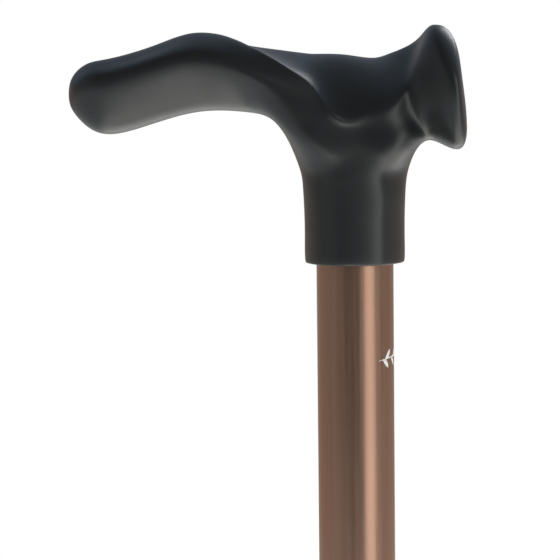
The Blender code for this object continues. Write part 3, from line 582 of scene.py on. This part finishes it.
# Rings down the outside of the neck and sleeve, round the sleeve's rim and up its bore: height at
# the front, height at the back, x at the front, x at the back and half the depth.
NECK_RINGS = (
    (33.0, 31.0, -18.6, 18.0, 16.7),
    (25.0, 23.5, -16.9, 16.8, 16.5),
    (14.0, 14.0, -16.5, 16.5, 16.5),
    (6.0, 6.0, -16.5, 16.5, 16.5),
    (3.0, 3.0, -16.5, 16.5, 16.5),
    (0.7, 0.7, -16.35, 16.35, 16.35),
    (0.1, 0.1, -15.8, 15.8, 15.8),
    (0.0, 0.0, -14.9, 14.9, 14.9),
    (0.0, 0.0, -14.1, 14.1, 14.1),
    (0.05, 0.05, -13.4, 13.4, 13.4),
    (0.6, 0.6, -13.05, 13.05, 13.05),
    (1.5, 1.5, -13.0, 13.0, 13.0),
    (4.0, 4.0, -13.0, 13.0, 13.0),
    (34.0, 34.0, -13.0, 13.0, 13.0),
    (36.0, 36.0, -12.6, 12.6, 12.6),
)
# Directions of a neck ring's points, in degrees from +X, the way the handle's mouth is walked.
NECK_ANGLES = (214, 180, 146, 126, 104, 72, 45, 0, -45, -72, -104, -126)
# Places of some of the ten points in a ring.
RIDGE, NEAR_LOW, UNDER, FAR_LOW = 1, 4, 5, 6
RIDGE_CREASE = (0.3, 0.6, 0.6, 0.6)  # sharpness of the ridge's edges, from the nose to its end
RIM_CREASE = 0.3  # and of the tail's flared rim on the near side
FIT_ROUNDS = 12
FIT_LEVELS = 2
HANDLE_LEVELS = 4
SOFT_START = 0.3  # the part of its radius that is melted from a soft place's first round
# Places where the surface is melted: (centre, radius, rounds).
SOFT_PLACES = (
    ((4.0, -15.0, 49.0), 10, 100),
    ((-5.0, -16.5, 38.0), 10, 90),
    ((19.0, -13.0, 50.0), 18, 220),
)
SHIFTED = (0.4, 1.0, 1.0, 0.5)  # how far the ridge and the near side's points take a ring's shift


def ring_points(ring):
    """The ten points of a ring: top, ridge, down the near side, underside, up the far side, edge."""
    top = max(ring.ridge_z, ring.edge_z)
    far_side = ring.side if ring.side in (OPEN, LEANING, STRAIGHT) else OVAL

    def point(y, z, shift=0.0):
        x = ring.x_low + (ring.x_top - ring.x_low) * (z - ring.low) / (top - ring.low)
        return (x + shift * ring.shift, y, z)

    crown = point((ring.ridge_y + ring.edge_y) / 2, (ring.ridge_z + ring.edge_z) / 2 - ring.dip)
    near = [
        point(ring.near * across, ring.ridge_z - (ring.ridge_z - ring.low) * down, part)
        for (across, down), part in zip(ring.side, SHIFTED[1:])
    ]
    far = [
        point(ring.far * across, ring.edge_z - (ring.edge_z - ring.low) * down)
        for across, down in far_side
    ]
    under = point((ring.near + ring.far) / 2, ring.low)
    ridge = point(ring.ridge_y, ring.ridge_z, SHIFTED[0])
    edge = point(ring.edge_y, ring.edge_z)
    return [crown, ridge, *near, under, *reversed(far), edge]


def neck_points(front_z, back_z, front_x, back_x, depth):
    """Twelve points round the neck, from its near side's front corner, by way of the far side."""
    middle = (front_x + back_x) / 2
    reach = (back_x - front_x) / 2
    points = []
    for degrees in NECK_ANGLES:
        angle = math.radians(degrees)
        x = math.cos(angle)
        z = back_z + (front_z - back_z) * max(0.0, -x)
        points.append((middle + reach * x, depth * math.sin(angle), z))
    return points


def cap_faces(ring, inner):
    """Six quads that close a ring of ten points over two inner points, wound for the nose."""
    top, ridge, near_1, near_2, near_3, under, far_3, far_2, far_1, edge = ring
    upper, lower = inner
    return [
        (top, ridge, near_1, upper),
        (edge, top, upper, far_1),
        (upper, near_1, near_2, lower),
        (far_1, upper, lower, far_2),
        (lower, near_2, near_3, under),
        (far_2, lower, under, far_3),
    ]


def handle_cage():
    """(points on the surface, quads, creased edges) of the handle, a T of three joined tubes."""
    points = []

    def add(new):
        first = len(points)
        points.extend(new)
        return list(range(first, len(points)))

    rings = [add(ring_points(ring)) for ring in (*NOSE, *NECK, *TAIL)]
    front, *middles, back = rings[len(NOSE) : len(NOSE) + len(NECK)]

    faces = []
    count = len(rings[0])
    underside = (NEAR_LOW, UNDER)  # the two faces of a band that lie under it
    for ahead, behind in zip(rings, rings[1:]):
        over_neck = ahead in (front, *middles)
        for i in range(count):
            if over_neck and i in underside:
                continue
            j = (i + 1) % count
            faces.append((ahead[i], behind[i], behind[j], ahead[j]))

    mouth = [
        *(front[i] for i in (NEAR_LOW, UNDER, FAR_LOW)),
        *(ring[FAR_LOW] for ring in middles),
        *(back[i] for i in (FAR_LOW, UNDER, NEAR_LOW)),
        *(ring[NEAR_LOW] for ring in reversed(middles)),
    ]
    collars = [mouth] + [add(neck_points(*row)) for row in NECK_RINGS]
    for above, below in zip(collars, collars[1:]):
        for i in range(len(mouth)):
            j = (i + 1) % len(mouth)
            faces.append((above[i], above[j], below[j], below[i]))
    faces.append(tuple(collars[-1]))

    faces.extend(cap_faces(rings[0], add(NOSE_CAP)))
    faces.extend(tuple(reversed(face)) for face in cap_faces(rings[-1], add(TAIL_CAP)))

    first = len(NOSE) - 2  # the ring that the ridge's crease starts at
    ridge = [ring[RIDGE] for ring in rings[first : first + len(RIDGE_CREASE) + 1]]
    creases = dict(zip(zip(ridge, ridge[1:]), RIDGE_CREASE))
    rim = rings[-2]
    creases.update({(rim[i], rim[i + 1]): RIM_CREASE for i in range(RIDGE, NEAR_LOW)})
    unused = {ring[UNDER] for ring in middles}  # the neck's mouth is there
    return without_points(points, faces, creases, unused)


def without_points(points, faces, creases, unused):
    """The same cage with its unused points taken out and the others renumbered."""

    def renumber(index):
        return index - sum(gone < index for gone in unused)

    kept = [point for i, point in enumerate(points) if i not in unused]
    faces = [tuple(renumber(i) for i in face) for face in faces]
    creases = {tuple(renumber(i) for i in edge): value for edge, value in creases.items()}
    return kept, faces, creases


def make_handle():
    """The moulded handle with its sleeve, and the screw's recess and hole on the hidden side."""
    points, faces, creases = handle_cage()
    target = np.array(points) * MM
    bm = bmesh.new()
    verts = [bm.verts.new(point) for point in target]
    sharpness = bm.edges.layers.float.new("crease_edge")
    for face in faces:
        bm.faces.new([verts[i] for i in face])
    for (a, b), value in creases.items():
        bm.edges.get((verts[a], verts[b]))[sharpness] = value
    handle = finish_mesh("handle_fine", bm, 180)
    soft = handle.modifiers.new("soft_form", "SUBSURF")
    soft.levels = FIT_LEVELS
    fit_cage(handle, target)
    soft.levels = soft.render_levels = HANDLE_LEVELS
    settle(handle)
    for place in SOFT_PLACES:
        soften(handle, *place)
    handle.data.transform(along_axis(HANDLE_Z))
    recess = prism("recess", SCREW_RECESS, SCREW_SEAT, 20 * MM, SCREW_PLACE)
    hole = drill("hole", SCREW_HOLE, 9, 20, SCREW_PLACE)
    carve(handle, [recess, hole], angle=50)
    stand_for(handle, "handle", MOULDED_BLACK)


def soften(obj, centre, radius, rounds):
    """Melts the surface round a point, more in the middle than at the edge."""
    bm = bmesh.new()
    bm.from_mesh(obj.data)
    reach = {vert: (vert.co - Vector(centre) * MM).length / MM for vert in bm.verts}
    every_way = {f"use_axis_{axis}": True for axis in "xyz"}
    for step in range(rounds):
        within = radius * (SOFT_START + (1 - SOFT_START) * step / rounds)
        verts = [vert for vert, distance in reach.items() if distance < within]
        bmesh.ops.smooth_vert(bm, verts=verts, factor=0.5, **every_way)
    bm.to_mesh(obj.data)
    bm.free()


def fit_cage(obj, target):
    """Moves the cage out until the subdivided surface meets the target points."""
    cage = target.copy()
    for _ in range(FIT_ROUNDS):
        obj.data.vertices.foreach_set("co", cage.ravel())
        obj.data.update()
        graph = bpy.context.evaluated_depsgraph_get()
        smooth = obj.evaluated_get(graph).to_mesh()
        surface = np.empty(len(smooth.vertices) * 3)
        smooth.vertices.foreach_get("co", surface)
        cage += target - surface.reshape(-1, 3)[: len(target)]
        obj.evaluated_get(graph).to_mesh_clear()
    obj.data.vertices.foreach_set("co", cage.ravel())
    obj.data.update()


# ---- tubes and collar ---------------------------------------------------------------------
def make_tube(node, outer, inner, low, high, material, cutters=(), edge=CUT_EDGE, place=None):
    """A round tube along Z with rounded ends, drilled by the cutters."""
    corners = [(outer, high, edge), (outer, low, edge), (inner, low, edge), (inner, high, edge)]
    outline = rounded(corners, closed=True)
    tube = lathe(f"{node}_fine", outline, place or along_axis(0), TUBE_STEPS, closed=True)
    if cutters:
        carve(tube, cutters)
    return stand_for(tube, node, material)


def make_upper_tube():
    """The visible tube, with the height holes on its outer side and the handle screw's hole."""
    cutters = []
    for setting in range(-HOLES_EACH_WAY, HOLES_EACH_WAY + 1):
        place = along_axis(BUTTON_Z + setting * HOLE_PITCH) @ OUTWARD
        cutters.append(drill(f"height_hole_{setting}", BUTTON_HOLE, 8, 18, place))
    cutters.append(drill("screw_hole", SCREW_HOLE, 9, 18, SCREW_PLACE))
    bore = UPPER_RADIUS - UPPER_WALL
    make_tube("upper_tube", UPPER_RADIUS, bore, COLLAR_Z, TUBE_HIGH.z, BRONZE, cutters)


def make_lower_tube():
    """The tube inside the upper one, with the button's hole and the cross bolt's."""
    button_hole = drill("button_hole", BUTTON_HOLE, 4, 16, BUTTON_PLACE)
    bolt_hole = drill("bolt_hole", BOLT_HOLE, -30, 30, BOLT_PLACE)
    cutters = [button_hole, bolt_hole]
    bore = LOWER_RADIUS - LOWER_WALL
    make_tube("lower_tube", LOWER_RADIUS, bore, LOWER_LOW.z, LOWER_HIGH.z, BRONZE, cutters)


def make_snap_button():
    """The round-nosed button, with the flange that keeps it in the lower tube."""
    edge = 0.2 * MM
    corners = [
        (0, BUTTON_TIP, 0),
        (BUTTON_RADIUS, BUTTON_TIP, 1.6 * MM),
        (BUTTON_RADIUS, BUTTON_FLANGE + 1.0 * MM, edge),
        (BUTTON_FLANGE_RADIUS, BUTTON_FLANGE + 0.9 * MM, edge),
        (BUTTON_FLANGE_RADIUS, BUTTON_FLANGE, edge),
        (0, BUTTON_FLANGE, 0),
    ]
    button = lathe("snap_button_fine", rounded(corners, steps=10), BUTTON_PLACE)
    stand_for(button, "snap_button", ZINC)


def make_button_spring():
    """A bent strip: its front leg goes in with the button, the other stays on the tube's wall."""
    strip = [(SPRING_FRONT, z * MM) for z in (9, 2, -4)]
    for step in range(SPRING_STEPS + 1):
        turn = math.pi * (1 + step / SPRING_STEPS)
        strip.append((SPRING_BEND * math.cos(turn), SPRING_BEND_Z + SPRING_BEND * math.sin(turn)))
    strip += [(7.9 * MM, -4 * MM), (SPRING_REAR, 6 * MM)]
    bm = bmesh.new()
    rows = []
    for y, z in strip:
        across = (-SPRING_HALF_WIDTH, 0, SPRING_HALF_WIDTH)
        rows.append([bm.verts.new((AXIS_X + x, AXIS_Y + y, BUTTON_Z + z)) for x in across])
    for first, second in zip(rows, rows[1:]):
        for i in (0, 1):
            bm.faces.new((first[i], first[i + 1], second[i + 1], second[i]))
    spring = finish_mesh("button_spring_fine", bm)
    thickness = spring.modifiers.new("strip_thickness", "SOLIDIFY")
    thickness.thickness = SPRING_THICKNESS
    thickness.offset = 0.0
    thickness.use_even_offset = True
    settle(spring)
    spring.data.materials.append(SPRING_STEEL)
    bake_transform(spring)
    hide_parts("button_spring")


def make_collar_sleeve():
    """The threaded sleeve on the upper tube's end, its lower end slotted."""
    lower_bore = LOWER_RADIUS + 0.4 * MM
    upper_bore = UPPER_RADIUS + GAP
    corners = [
        (COLLAR_RIM, COLLAR_TOP, 0.9 * MM),
        (COLLAR_RIM, COLLAR_SHOULDER, CUT_EDGE),
        (COLLAR_THREAD, COLLAR_SHOULDER, CUT_EDGE),
        (COLLAR_THREAD, COLLAR_BOTTOM, 0.8 * MM),
        (lower_bore, COLLAR_BOTTOM, CUT_EDGE),
        (lower_bore, -GAP, 0),
        (upper_bore, -GAP, 0),
        (upper_bore, COLLAR_TOP, 0.5 * MM),
    ]
    outline = rounded(corners, closed=True)
    sleeve = lathe("collar_sleeve_fine", outline, along_axis(COLLAR_Z), TUBE_STEPS, closed=True)
    slots = []
    for turn in (45, 135):
        place = along_axis(COLLAR_Z - SLOT_HEIGHT) @ Matrix.Rotation(math.radians(turn), 4, "Z")
        slots.append(box_cutter(f"slot_{turn}", (40 * MM, SLOT_WIDTH, SLOT_HEIGHT), place))
    stand_for(carve(sleeve, slots), "collar_sleeve", BLACK_PLASTIC)


def make_collar_nut():
    """The hand nut: rows of radius, height and, outside, depth of the lobes, in millimetres."""
    outside = [
        (17.2, 14.0, 0.0), (17.9, 13.7, 0.2), (18.4, 12.8, 0.35), (18.6, 11.4, 0.45),
        (18.6, -12.2, 0.45), (18.3, -13.9, 0.38), (17.5, -15.9, 0.2), (16.5, -17.6, 0.0),
    ]
    inside = [
        (15.9, -18.0), (12.0, -18.0), (11.6, -17.6), (11.6, -15.1), (11.9, -14.8),
        (15.3, -14.8), (15.6, -14.5), (15.6, 13.6), (16.0, 14.0),
    ]
    steps = NUT_LOBES * STEPS_PER_LOBE
    bm = bmesh.new()
    loops = []
    for radius, height, depth in [*outside, *((*row, 0.0) for row in inside)]:
        loop = []
        for step in range(steps):
            turn = 2 * math.pi * step / steps
            reach = (radius + depth * math.cos(NUT_LOBES * turn)) * MM
            loop.append(bm.verts.new((reach * math.cos(turn), reach * math.sin(turn), height * MM)))
        loops.append(loop)
    join_rows(bm, [*zip(loops, loops[1:]), (loops[-1], loops[0])], steps)
    bm.transform(along_axis(COLLAR_Z))
    stand_for(finish_mesh("collar_nut_fine", bm, 50), "collar_nut", BLACK_PLASTIC)


# ---- base ---------------------------------------------------------------------------------
def foot_places():
    """Each foot's name, its distance from the axis and the matrix with X along its leg."""
    for foot in FEET:
        middle = middle_of(f"tip_{foot}")
        across = Vector((middle.x - AXIS_X, middle.y - AXIS_Y))
        turn = Matrix.Rotation(math.atan2(across.y, across.x), 4, "Z")
        yield foot, across.length, along_axis(0) @ turn


def make_hub():
    """The cast hub, its bosses run into the socket with soft fillets, then machined."""
    corners = [
        (0, HUB_HIGH.z, 0),
        (HUB_RADIUS, HUB_HIGH.z, 1.8 * MM),
        (HUB_RADIUS, HUB_LOW.z, 4 * MM),
        (0, HUB_LOW.z, 0),
    ]
    hub = lathe("base_hub_fine", rounded(corners), along_axis(0), HUB_STEPS)
    past_boss = 60 * MM
    below_boss = 60 * MM
    in_socket = LEG_Z - 4 * MM
    bosses = []
    cutters = []
    for foot, _, leg in foot_places():
        along = leg @ Matrix.Translation((0, 0, LEG_Z)) @ REARWARD
        bosses.append(prism(f"boss_{foot}", BOSS_RADIUS, BOSS_START, BOSS_REACH, along))
        cutters.append(prism(f"socket_{foot}", LEG_RADIUS + GAP, SOCKET_START, past_boss, along))
        screw_place = leg @ Matrix.Translation((LEG_SCREW_REACH, 0, 0))
        name = f"screw_hole_{foot}"
        cutters.append(prism(name, LEG_SCREW_HOLE, below_boss, in_socket, screw_place, 32))
    carve(hub, bosses, "UNION")
    cast = hub.modifiers.new("cast_skin", "REMESH")
    cast.mode = "VOXEL"
    cast.voxel_size = CAST_VOXEL
    fillets = hub.modifiers.new("fillets", "SMOOTH")
    fillets.factor = 0.5
    fillets.iterations = CAST_SMOOTHING
    settle(hub)
    above_hub = 0.16
    bore = prism("bore", LOWER_RADIUS + GAP, LOWER_LOW.z - GAP, above_hub, along_axis(0), HUB_STEPS)
    cutters.append(bore)
    cutters.append(drill("bolt_hole", BOLT_HOLE, -30, 30, BOLT_PLACE))
    for way in (-1, 1):
        place = along_axis(BOLT_Z) @ Matrix.Translation((way * (HUB_FLAT_X + 5 * MM), 0, 0))
        cutters.append(box_cutter(f"flat_{way}", (10 * MM, 60 * MM, 20 * MM), place))
    stand_for(carve(hub, cutters, angle=40), "base_hub", POWDER_COAT)


def make_leg(foot, reach, leg):
    """A bent tube, out from the hub and down to its tip."""
    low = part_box(f"leg_{foot}")[0].z
    route = [(SOCKET_START + 0.5 * MM, LEG_Z, 90)]  # distance out, height and turn of each ring
    for step in range(LEG_STEPS + 1):
        turn = 90 - 90 * step / LEG_STEPS
        bent = math.radians(turn)
        distance = reach - LEG_BEND * (1 - math.cos(bent))
        height = LEG_Z - LEG_BEND * (1 - math.sin(bent))
        route.append((distance, height, turn))
    route.append((reach, low, 0))
    bm = bmesh.new()
    steps = LEG_ROUND_STEPS

    def loop(distance, height, turn, radius):
        outward = Vector((math.cos(math.radians(turn)), 0, math.sin(math.radians(turn))))
        centre = Vector((distance, 0, height))
        verts = []
        for step in range(steps):
            angle = 2 * math.pi * step / steps
            spoke = outward * math.cos(angle) + Vector((0, math.sin(angle), 0))
            verts.append(bm.verts.new(centre + radius * spoke))
        return verts

    outer = [loop(*point, LEG_RADIUS) for point in route]
    inner = [loop(*point, LEG_RADIUS - LEG_WALL) for point in reversed(route)]
    loops = outer + inner
    join_rows(bm, [*zip(loops, loops[1:]), (loops[-1], loops[0])], steps)
    bm.transform(leg)
    stand_for(finish_mesh(f"leg_{foot}_fine", bm), f"leg_{foot}", POWDER_COAT)


def make_leg_screw(foot, leg):
    """The domed set screw under a boss, with its hex socket."""
    point = LEG_Z - LEG_RADIUS - GAP
    seat = LEG_Z - BOSS_RADIUS - GAP
    crown = seat - LEG_SCREW_HEAD_HEIGHT
    corners = [
        (0, point, 0),
        (LEG_SCREW_SHANK, point, 0.4 * MM),
        (LEG_SCREW_SHANK, seat, 0.1 * MM),
        (LEG_SCREW_HEAD, seat, 0.2 * MM),
        (4.4 * MM, crown, 1.4 * MM),
        (0, crown, 0),
    ]
    place = leg @ Matrix.Translation((LEG_SCREW_REACH, 0, 0))
    screw = lathe(f"leg_screw_{foot}_fine", rounded(corners), place, SCREW_STEPS)
    drive = prism("drive", 1.7 * MM, seat - 5 * MM, seat - 1.2 * MM, place, HEX)
    stand_for(carve(screw, [drive]), f"leg_screw_{foot}", ZINC)


def make_tip(foot, reach, leg):
    """A flared rubber tip with two grooves round its collar and a ring groove underneath."""
    bore = (LEG_RADIUS + GAP) / MM
    wide = TIP_RADIUS / MM
    seat = 6.0
    top = 34.0
    collar = 11.6
    edge = 0.3
    corners = [(0, seat, 0), (bore, seat, 0.6), (bore, top, 0.5), (collar, top, 1.0)]
    for groove in (30.6, 27.2):
        corners += [(collar, groove + 0.6, edge), (10.9, groove, edge), (collar, groove - 0.6, edge)]
    corners += [(11.5, 24.5, 1.0), (11.0, 16.0, 4.0), (13.0, 8.6, 3.0)]
    corners += [(wide, 4.0, 1.2), (wide, 0.0, 1.0)]
    corners += [(12.0, 0.0, edge), (11.4, 1.4, edge), (9.6, 1.4, edge), (9.0, 0.0, edge), (0, 0, 0)]
    outline = rounded([tuple(number * MM for number in corner) for corner in corners])
    place = leg @ Matrix.Translation((reach, 0, 0))
    tip = lathe(f"tip_{foot}_fine", outline, place, TIP_STEPS)
    stand_for(tip, f"tip_{foot}", RUBBER)


WASHER_START = HUB_FLAT_X + GAP
HEAD_START = WASHER_START + WASHER_THICKNESS + GAP
NUT_PLACE = along_axis(BOLT_Z) @ FORWARD


def make_cross_bolt():
    """The bolt across the hub, with its hex socket."""
    crown = HEAD_START + BOLT_HEAD_HEIGHT
    point = -HEAD_START - BOLT_OVERHANG
    corners = [
        (0, crown, 0),
        (BOLT_HEAD, crown, 0.7 * MM),
        (BOLT_HEAD, HEAD_START, 0.2 * MM),
        (BOLT_SHANK, HEAD_START, 0.1 * MM),
        (BOLT_SHANK, point, 0.7 * MM),
        (0, point, 0),
    ]
    bolt = lathe("cross_bolt_fine", rounded(corners), BOLT_PLACE, BOLT_STEPS)
    floor = HEAD_START + 1.6 * MM
    drive = prism("drive", 2.9 * MM, floor, HEAD_START + 8 * MM, BOLT_PLACE, HEX)
    stand_for(carve(bolt, [drive]), "cross_bolt", ZINC)


def make_bolt_nut():
    """The hex nut, its corners turned off at the outer end and its thread's hole plain."""
    low = HEAD_START - 2 * MM
    high = HEAD_START + NUT_HEIGHT
    corners = [
        (BOLT_HOLE, low, 0),
        (7 * MM, low, 0),
        (7 * MM, HEAD_START + 3.9 * MM, 0),
        (4.6 * MM, high, 0),
        (BOLT_HOLE, high, 0),
    ]
    nut = prism("bolt_nut_fine", NUT_RADIUS, HEAD_START, high, NUT_PLACE, HEX)
    shape = lathe("nut_shape", rounded(corners), NUT_PLACE, BOLT_STEPS, closed=True)
    stand_for(carve(nut, [shape], "INTERSECT"), "bolt_nut", ZINC)


def make_bolt_washers():
    low = WASHER_START
    high = WASHER_START + WASHER_THICKNESS
    for node, place in (("bolt_washer_rear", BOLT_PLACE), ("bolt_washer_front", NUT_PLACE)):
        make_tube(node, WASHER_RADIUS, BOLT_HOLE, low, high, ZINC, (), 0.25 * MM, place)


def make_base():
    make_hub()
    make_cross_bolt()
    make_bolt_nut()
    make_bolt_washers()
    for foot, reach, leg in foot_places():
        make_leg(foot, reach, leg)
        make_leg_screw(foot, leg)
        make_tip(foot, reach, leg)


# ---- ornament -----------------------------------------------------------------------------
def make_ornament():
    """A plain leaf sprig printed round the upper tube, to the right of its front."""
    bm = bmesh.new()
    surface = UPPER_RADIUS + INK_HEIGHT
    middle = HANDLE_Z - ORNAMENT_DROP

    def wrapped(along, up):
        """The place on the tube that is so far round it and so far up from the sprig's middle."""
        turn = ORNAMENT_START + along / surface
        x = AXIS_X + surface * math.sin(turn)
        y = AXIS_Y - surface * math.cos(turn)
        return Vector((x, y, middle + up))

    def stroke(start, direction, length, width, bow):
        """A pointed stroke from a place on the tube, bent to one side."""
        rows = []
        ahead = Vector((math.cos(direction), math.sin(direction)))
        aside = Vector((-ahead.y, ahead.x))
        for step in range(STROKE_STEPS + 1):
            t = step / STROKE_STEPS
            centre = Vector(start) + ahead * length * t + aside * bow * math.sin(math.pi * t)
            half = width / 2 * math.sin(math.pi * (0.03 + 0.94 * t)) ** 0.8  # almost 0 at its ends
            across = [centre + aside * half * part for part in (-1, -0.5, 0, 0.5, 1)]
            rows.append([bm.verts.new(wrapped(*place)) for place in across])
        for near, far in zip(rows, rows[1:]):
            for i in range(len(near) - 1):
                bm.faces.new((near[i], near[i + 1], far[i + 1], far[i]))

    length = ORNAMENT_LENGTH
    stroke((0, -0.6 * MM), 0.02, length, STEM_WIDTH, 0.9 * MM)
    # Pairs of leaves from a tenth of the stem to nine tenths, each smaller than the one before.
    for pair in range(LEAF_PAIRS):
        along = length * (0.10 + 0.80 * pair / (LEAF_PAIRS - 1))
        size = 1.0 - 0.35 * pair / (LEAF_PAIRS - 1)
        for way in (-1, 1):
            start = (along + 0.6 * MM * way, -0.1 * MM)
            stroke(start, way * LEAF_LEAN, LEAF_LENGTH * size, LEAF_WIDTH * size, -0.3 * MM * way)
    sprig = finish_mesh("leaf_sprig", bm, 180)
    sprig.data.materials.append(INK)
    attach(sprig, "upper_shaft")


# ---- stage, in metres and degrees ---------------------------------------------------------
CAMERA_ELEVATION = 5.5
CAMERA_DISTANCE = 0.65
CAMERA_FIELD = 16.2
CAMERA_ROLL = -0.65
CAMERA_TARGET = (-24.8 * MM, 0.0, -5.6 * MM)  # from the axis, at the sleeve's lower rim
SENSOR_WIDTH = 36  # millimetres, as the lens

FLOOR_RADIUS = 2.7  # a wider floor would show in the main view
FLOOR_GLOW = 0.55
SOFTBOX_AZIMUTH = 40  # from the camera's side towards the cane's rear
SOFTBOX_DISTANCE = 1.3
SOFTBOX_HEIGHT = 0.95
SOFTBOX_SIZE = (0.72, 1.5)
SOFTBOX_RADIANCE = 1.7
REAR_KEY_SIZE = (0.5, 0.5)
REAR_KEY_X = 0.7
REAR_KEY_Y = 1.3
REAR_KEY_RISE = 0.75  # above the handle sleeve's lower rim
REAR_KEY_RADIANCE = 4.5
TABLE_GLOW_SIZE = (1.5, 2.2)
TABLE_GLOW_X = 0.45
TABLE_GLOW_RADIANCE = 1.6
WARM_WHITE = (1.0, 0.965, 0.92)
FLOOR_WHITE = (1.0, 0.985, 0.965, 1.0)
CAMERA_SIDE = (0.15, 0.155, 0.16)
BESIDE_CANE = (0.40, 0.40, 0.40)
BEHIND_LOW = (0.50, 0.42, 0.36)
BEHIND_HIGH = (0.28, 0.34, 0.42)  # this and the three above are what the cane reflects


def make_camera():
    data = bpy.data.cameras.new("camera")
    data.sensor_width = SENSOR_WIDTH
    data.lens = SENSOR_WIDTH / 2 / math.tan(math.radians(CAMERA_FIELD) / 2)
    data.clip_start = 0.01
    camera = bpy.data.objects.new("camera", data)
    bpy.context.scene.collection.objects.link(camera)
    tilt = math.radians(CAMERA_ELEVATION)
    back = Vector((0, -math.cos(tilt), math.sin(tilt)))
    target = Vector((AXIS_X, AXIS_Y, HANDLE_Z)) + Vector(CAMERA_TARGET)
    camera.location = target + back * CAMERA_DISTANCE
    camera.rotation_mode = "QUATERNION"
    aim = (-back).to_track_quat("-Z", "Y")
    camera.rotation_quaternion = aim @ Quaternion((0, 0, 1), math.radians(CAMERA_ROLL))
    bpy.context.scene.camera = camera


def make_floor():
    """A round white floor that glows a little, as an overexposed one does."""
    bm = bmesh.new()
    bmesh.ops.create_circle(bm, cap_ends=True, radius=FLOOR_RADIUS, segments=96)
    floor = finish_mesh("floor", bm)
    material, tree, shader = new_material("floor", 0.9)
    colour = blend_colours(tree, noise(tree, 3, 2), (0.80, 0.80, 0.79), (0.82, 0.82, 0.81))
    tree.links.new(colour, shader.inputs["Base Color"])
    shader.inputs["Emission Color"].default_value = FLOOR_WHITE
    shader.inputs["Emission Strength"].default_value = FLOOR_GLOW
    floor.data.materials.append(material)


def add_area(name, size, place, aim, radiance, colour=(1, 1, 1)):
    """An area light of a given radiance that the camera doesn't see."""
    light = bpy.data.lights.new(name, "AREA")
    light.shape = "RECTANGLE"
    light.size, light.size_y = size
    light.energy = radiance * math.pi * size[0] * size[1]
    light.color = colour
    obj = bpy.data.objects.new(name, light)
    bpy.context.scene.collection.objects.link(obj)
    obj.location = place
    obj.rotation_mode = "QUATERNION"
    obj.rotation_quaternion = (Vector(aim) - Vector(place)).to_track_quat("-Z", "Y")
    obj.visible_camera = False
    return obj


def make_lights():
    """A tall softbox in front, a key behind, and a warm glow off the table."""
    azimuth = math.radians(SOFTBOX_AZIMUTH)
    x = AXIS_X + SOFTBOX_DISTANCE * math.sin(azimuth)
    y = AXIS_Y - SOFTBOX_DISTANCE * math.cos(azimuth)
    place = (x, y, SOFTBOX_HEIGHT)
    add_area("softbox", SOFTBOX_SIZE, place, (AXIS_X, AXIS_Y, SOFTBOX_HEIGHT), SOFTBOX_RADIANCE)
    place = (REAR_KEY_X, REAR_KEY_Y, HANDLE_Z + REAR_KEY_RISE)
    add_area("rear_key", REAR_KEY_SIZE, place, (AXIS_X, AXIS_Y, HANDLE_Z), REAR_KEY_RADIANCE)
    place = (TABLE_GLOW_X, 0, 0.001)
    above = (TABLE_GLOW_X, 0, 1)
    add_area("table_glow", TABLE_GLOW_SIZE, place, above, TABLE_GLOW_RADIANCE, WARM_WHITE)


def make_world():
    """White to the camera. To the cane: dark where the camera is, grey beside it, lighter behind."""
    world = bpy.data.worlds.new("studio")
    world.use_nodes = True
    bpy.context.scene.world = world
    tree = world.node_tree
    direction = tree.nodes.new("ShaderNodeTexCoord").outputs["Generated"]
    axes = tree.nodes.new("ShaderNodeSeparateXYZ")
    tree.links.new(direction, axes.inputs["Vector"])
    sideways = tree.nodes.new("ShaderNodeMath")
    sideways.operation = "ABSOLUTE"
    tree.links.new(axes.outputs["X"], sideways.inputs[0])
    front = tint(tree, sideways.outputs[0], 0.45, 0.95, CAMERA_SIDE, BESIDE_CANE)
    behind = tint(tree, axes.outputs["Z"], -0.2, 0.5, BEHIND_LOW, BEHIND_HIGH)
    studio = tint(tree, axes.outputs["Y"], -0.08, 0.16, front, behind)
    camera_ray = tree.nodes.new("ShaderNodeLightPath").outputs["Is Camera Ray"]
    seen = blend_colours(tree, camera_ray, studio, (1.0, 1.0, 1.0))
    tree.links.new(seen, tree.nodes["Background"].inputs["Color"])


def make_stage():
    make_camera()
    make_floor()
    make_lights()
    make_world()
    bpy.context.scene.view_settings.view_transform = "Standard"


def make_cane():
    make_handle()
    make_upper_tube()
    make_lower_tube()
    make_snap_button()
    make_button_spring()
    make_collar_sleeve()
    make_collar_nut()
    make_base()
    make_ornament()
    for node in ("collar_ring", "handle_plug", "guide_plug"):
        keep_node(node, NYLON)
    for node in ("handle_screw", *(f"tip_disc_{foot}" for foot in FEET)):
        keep_node(node, ZINC)


make_stage()
make_cane()
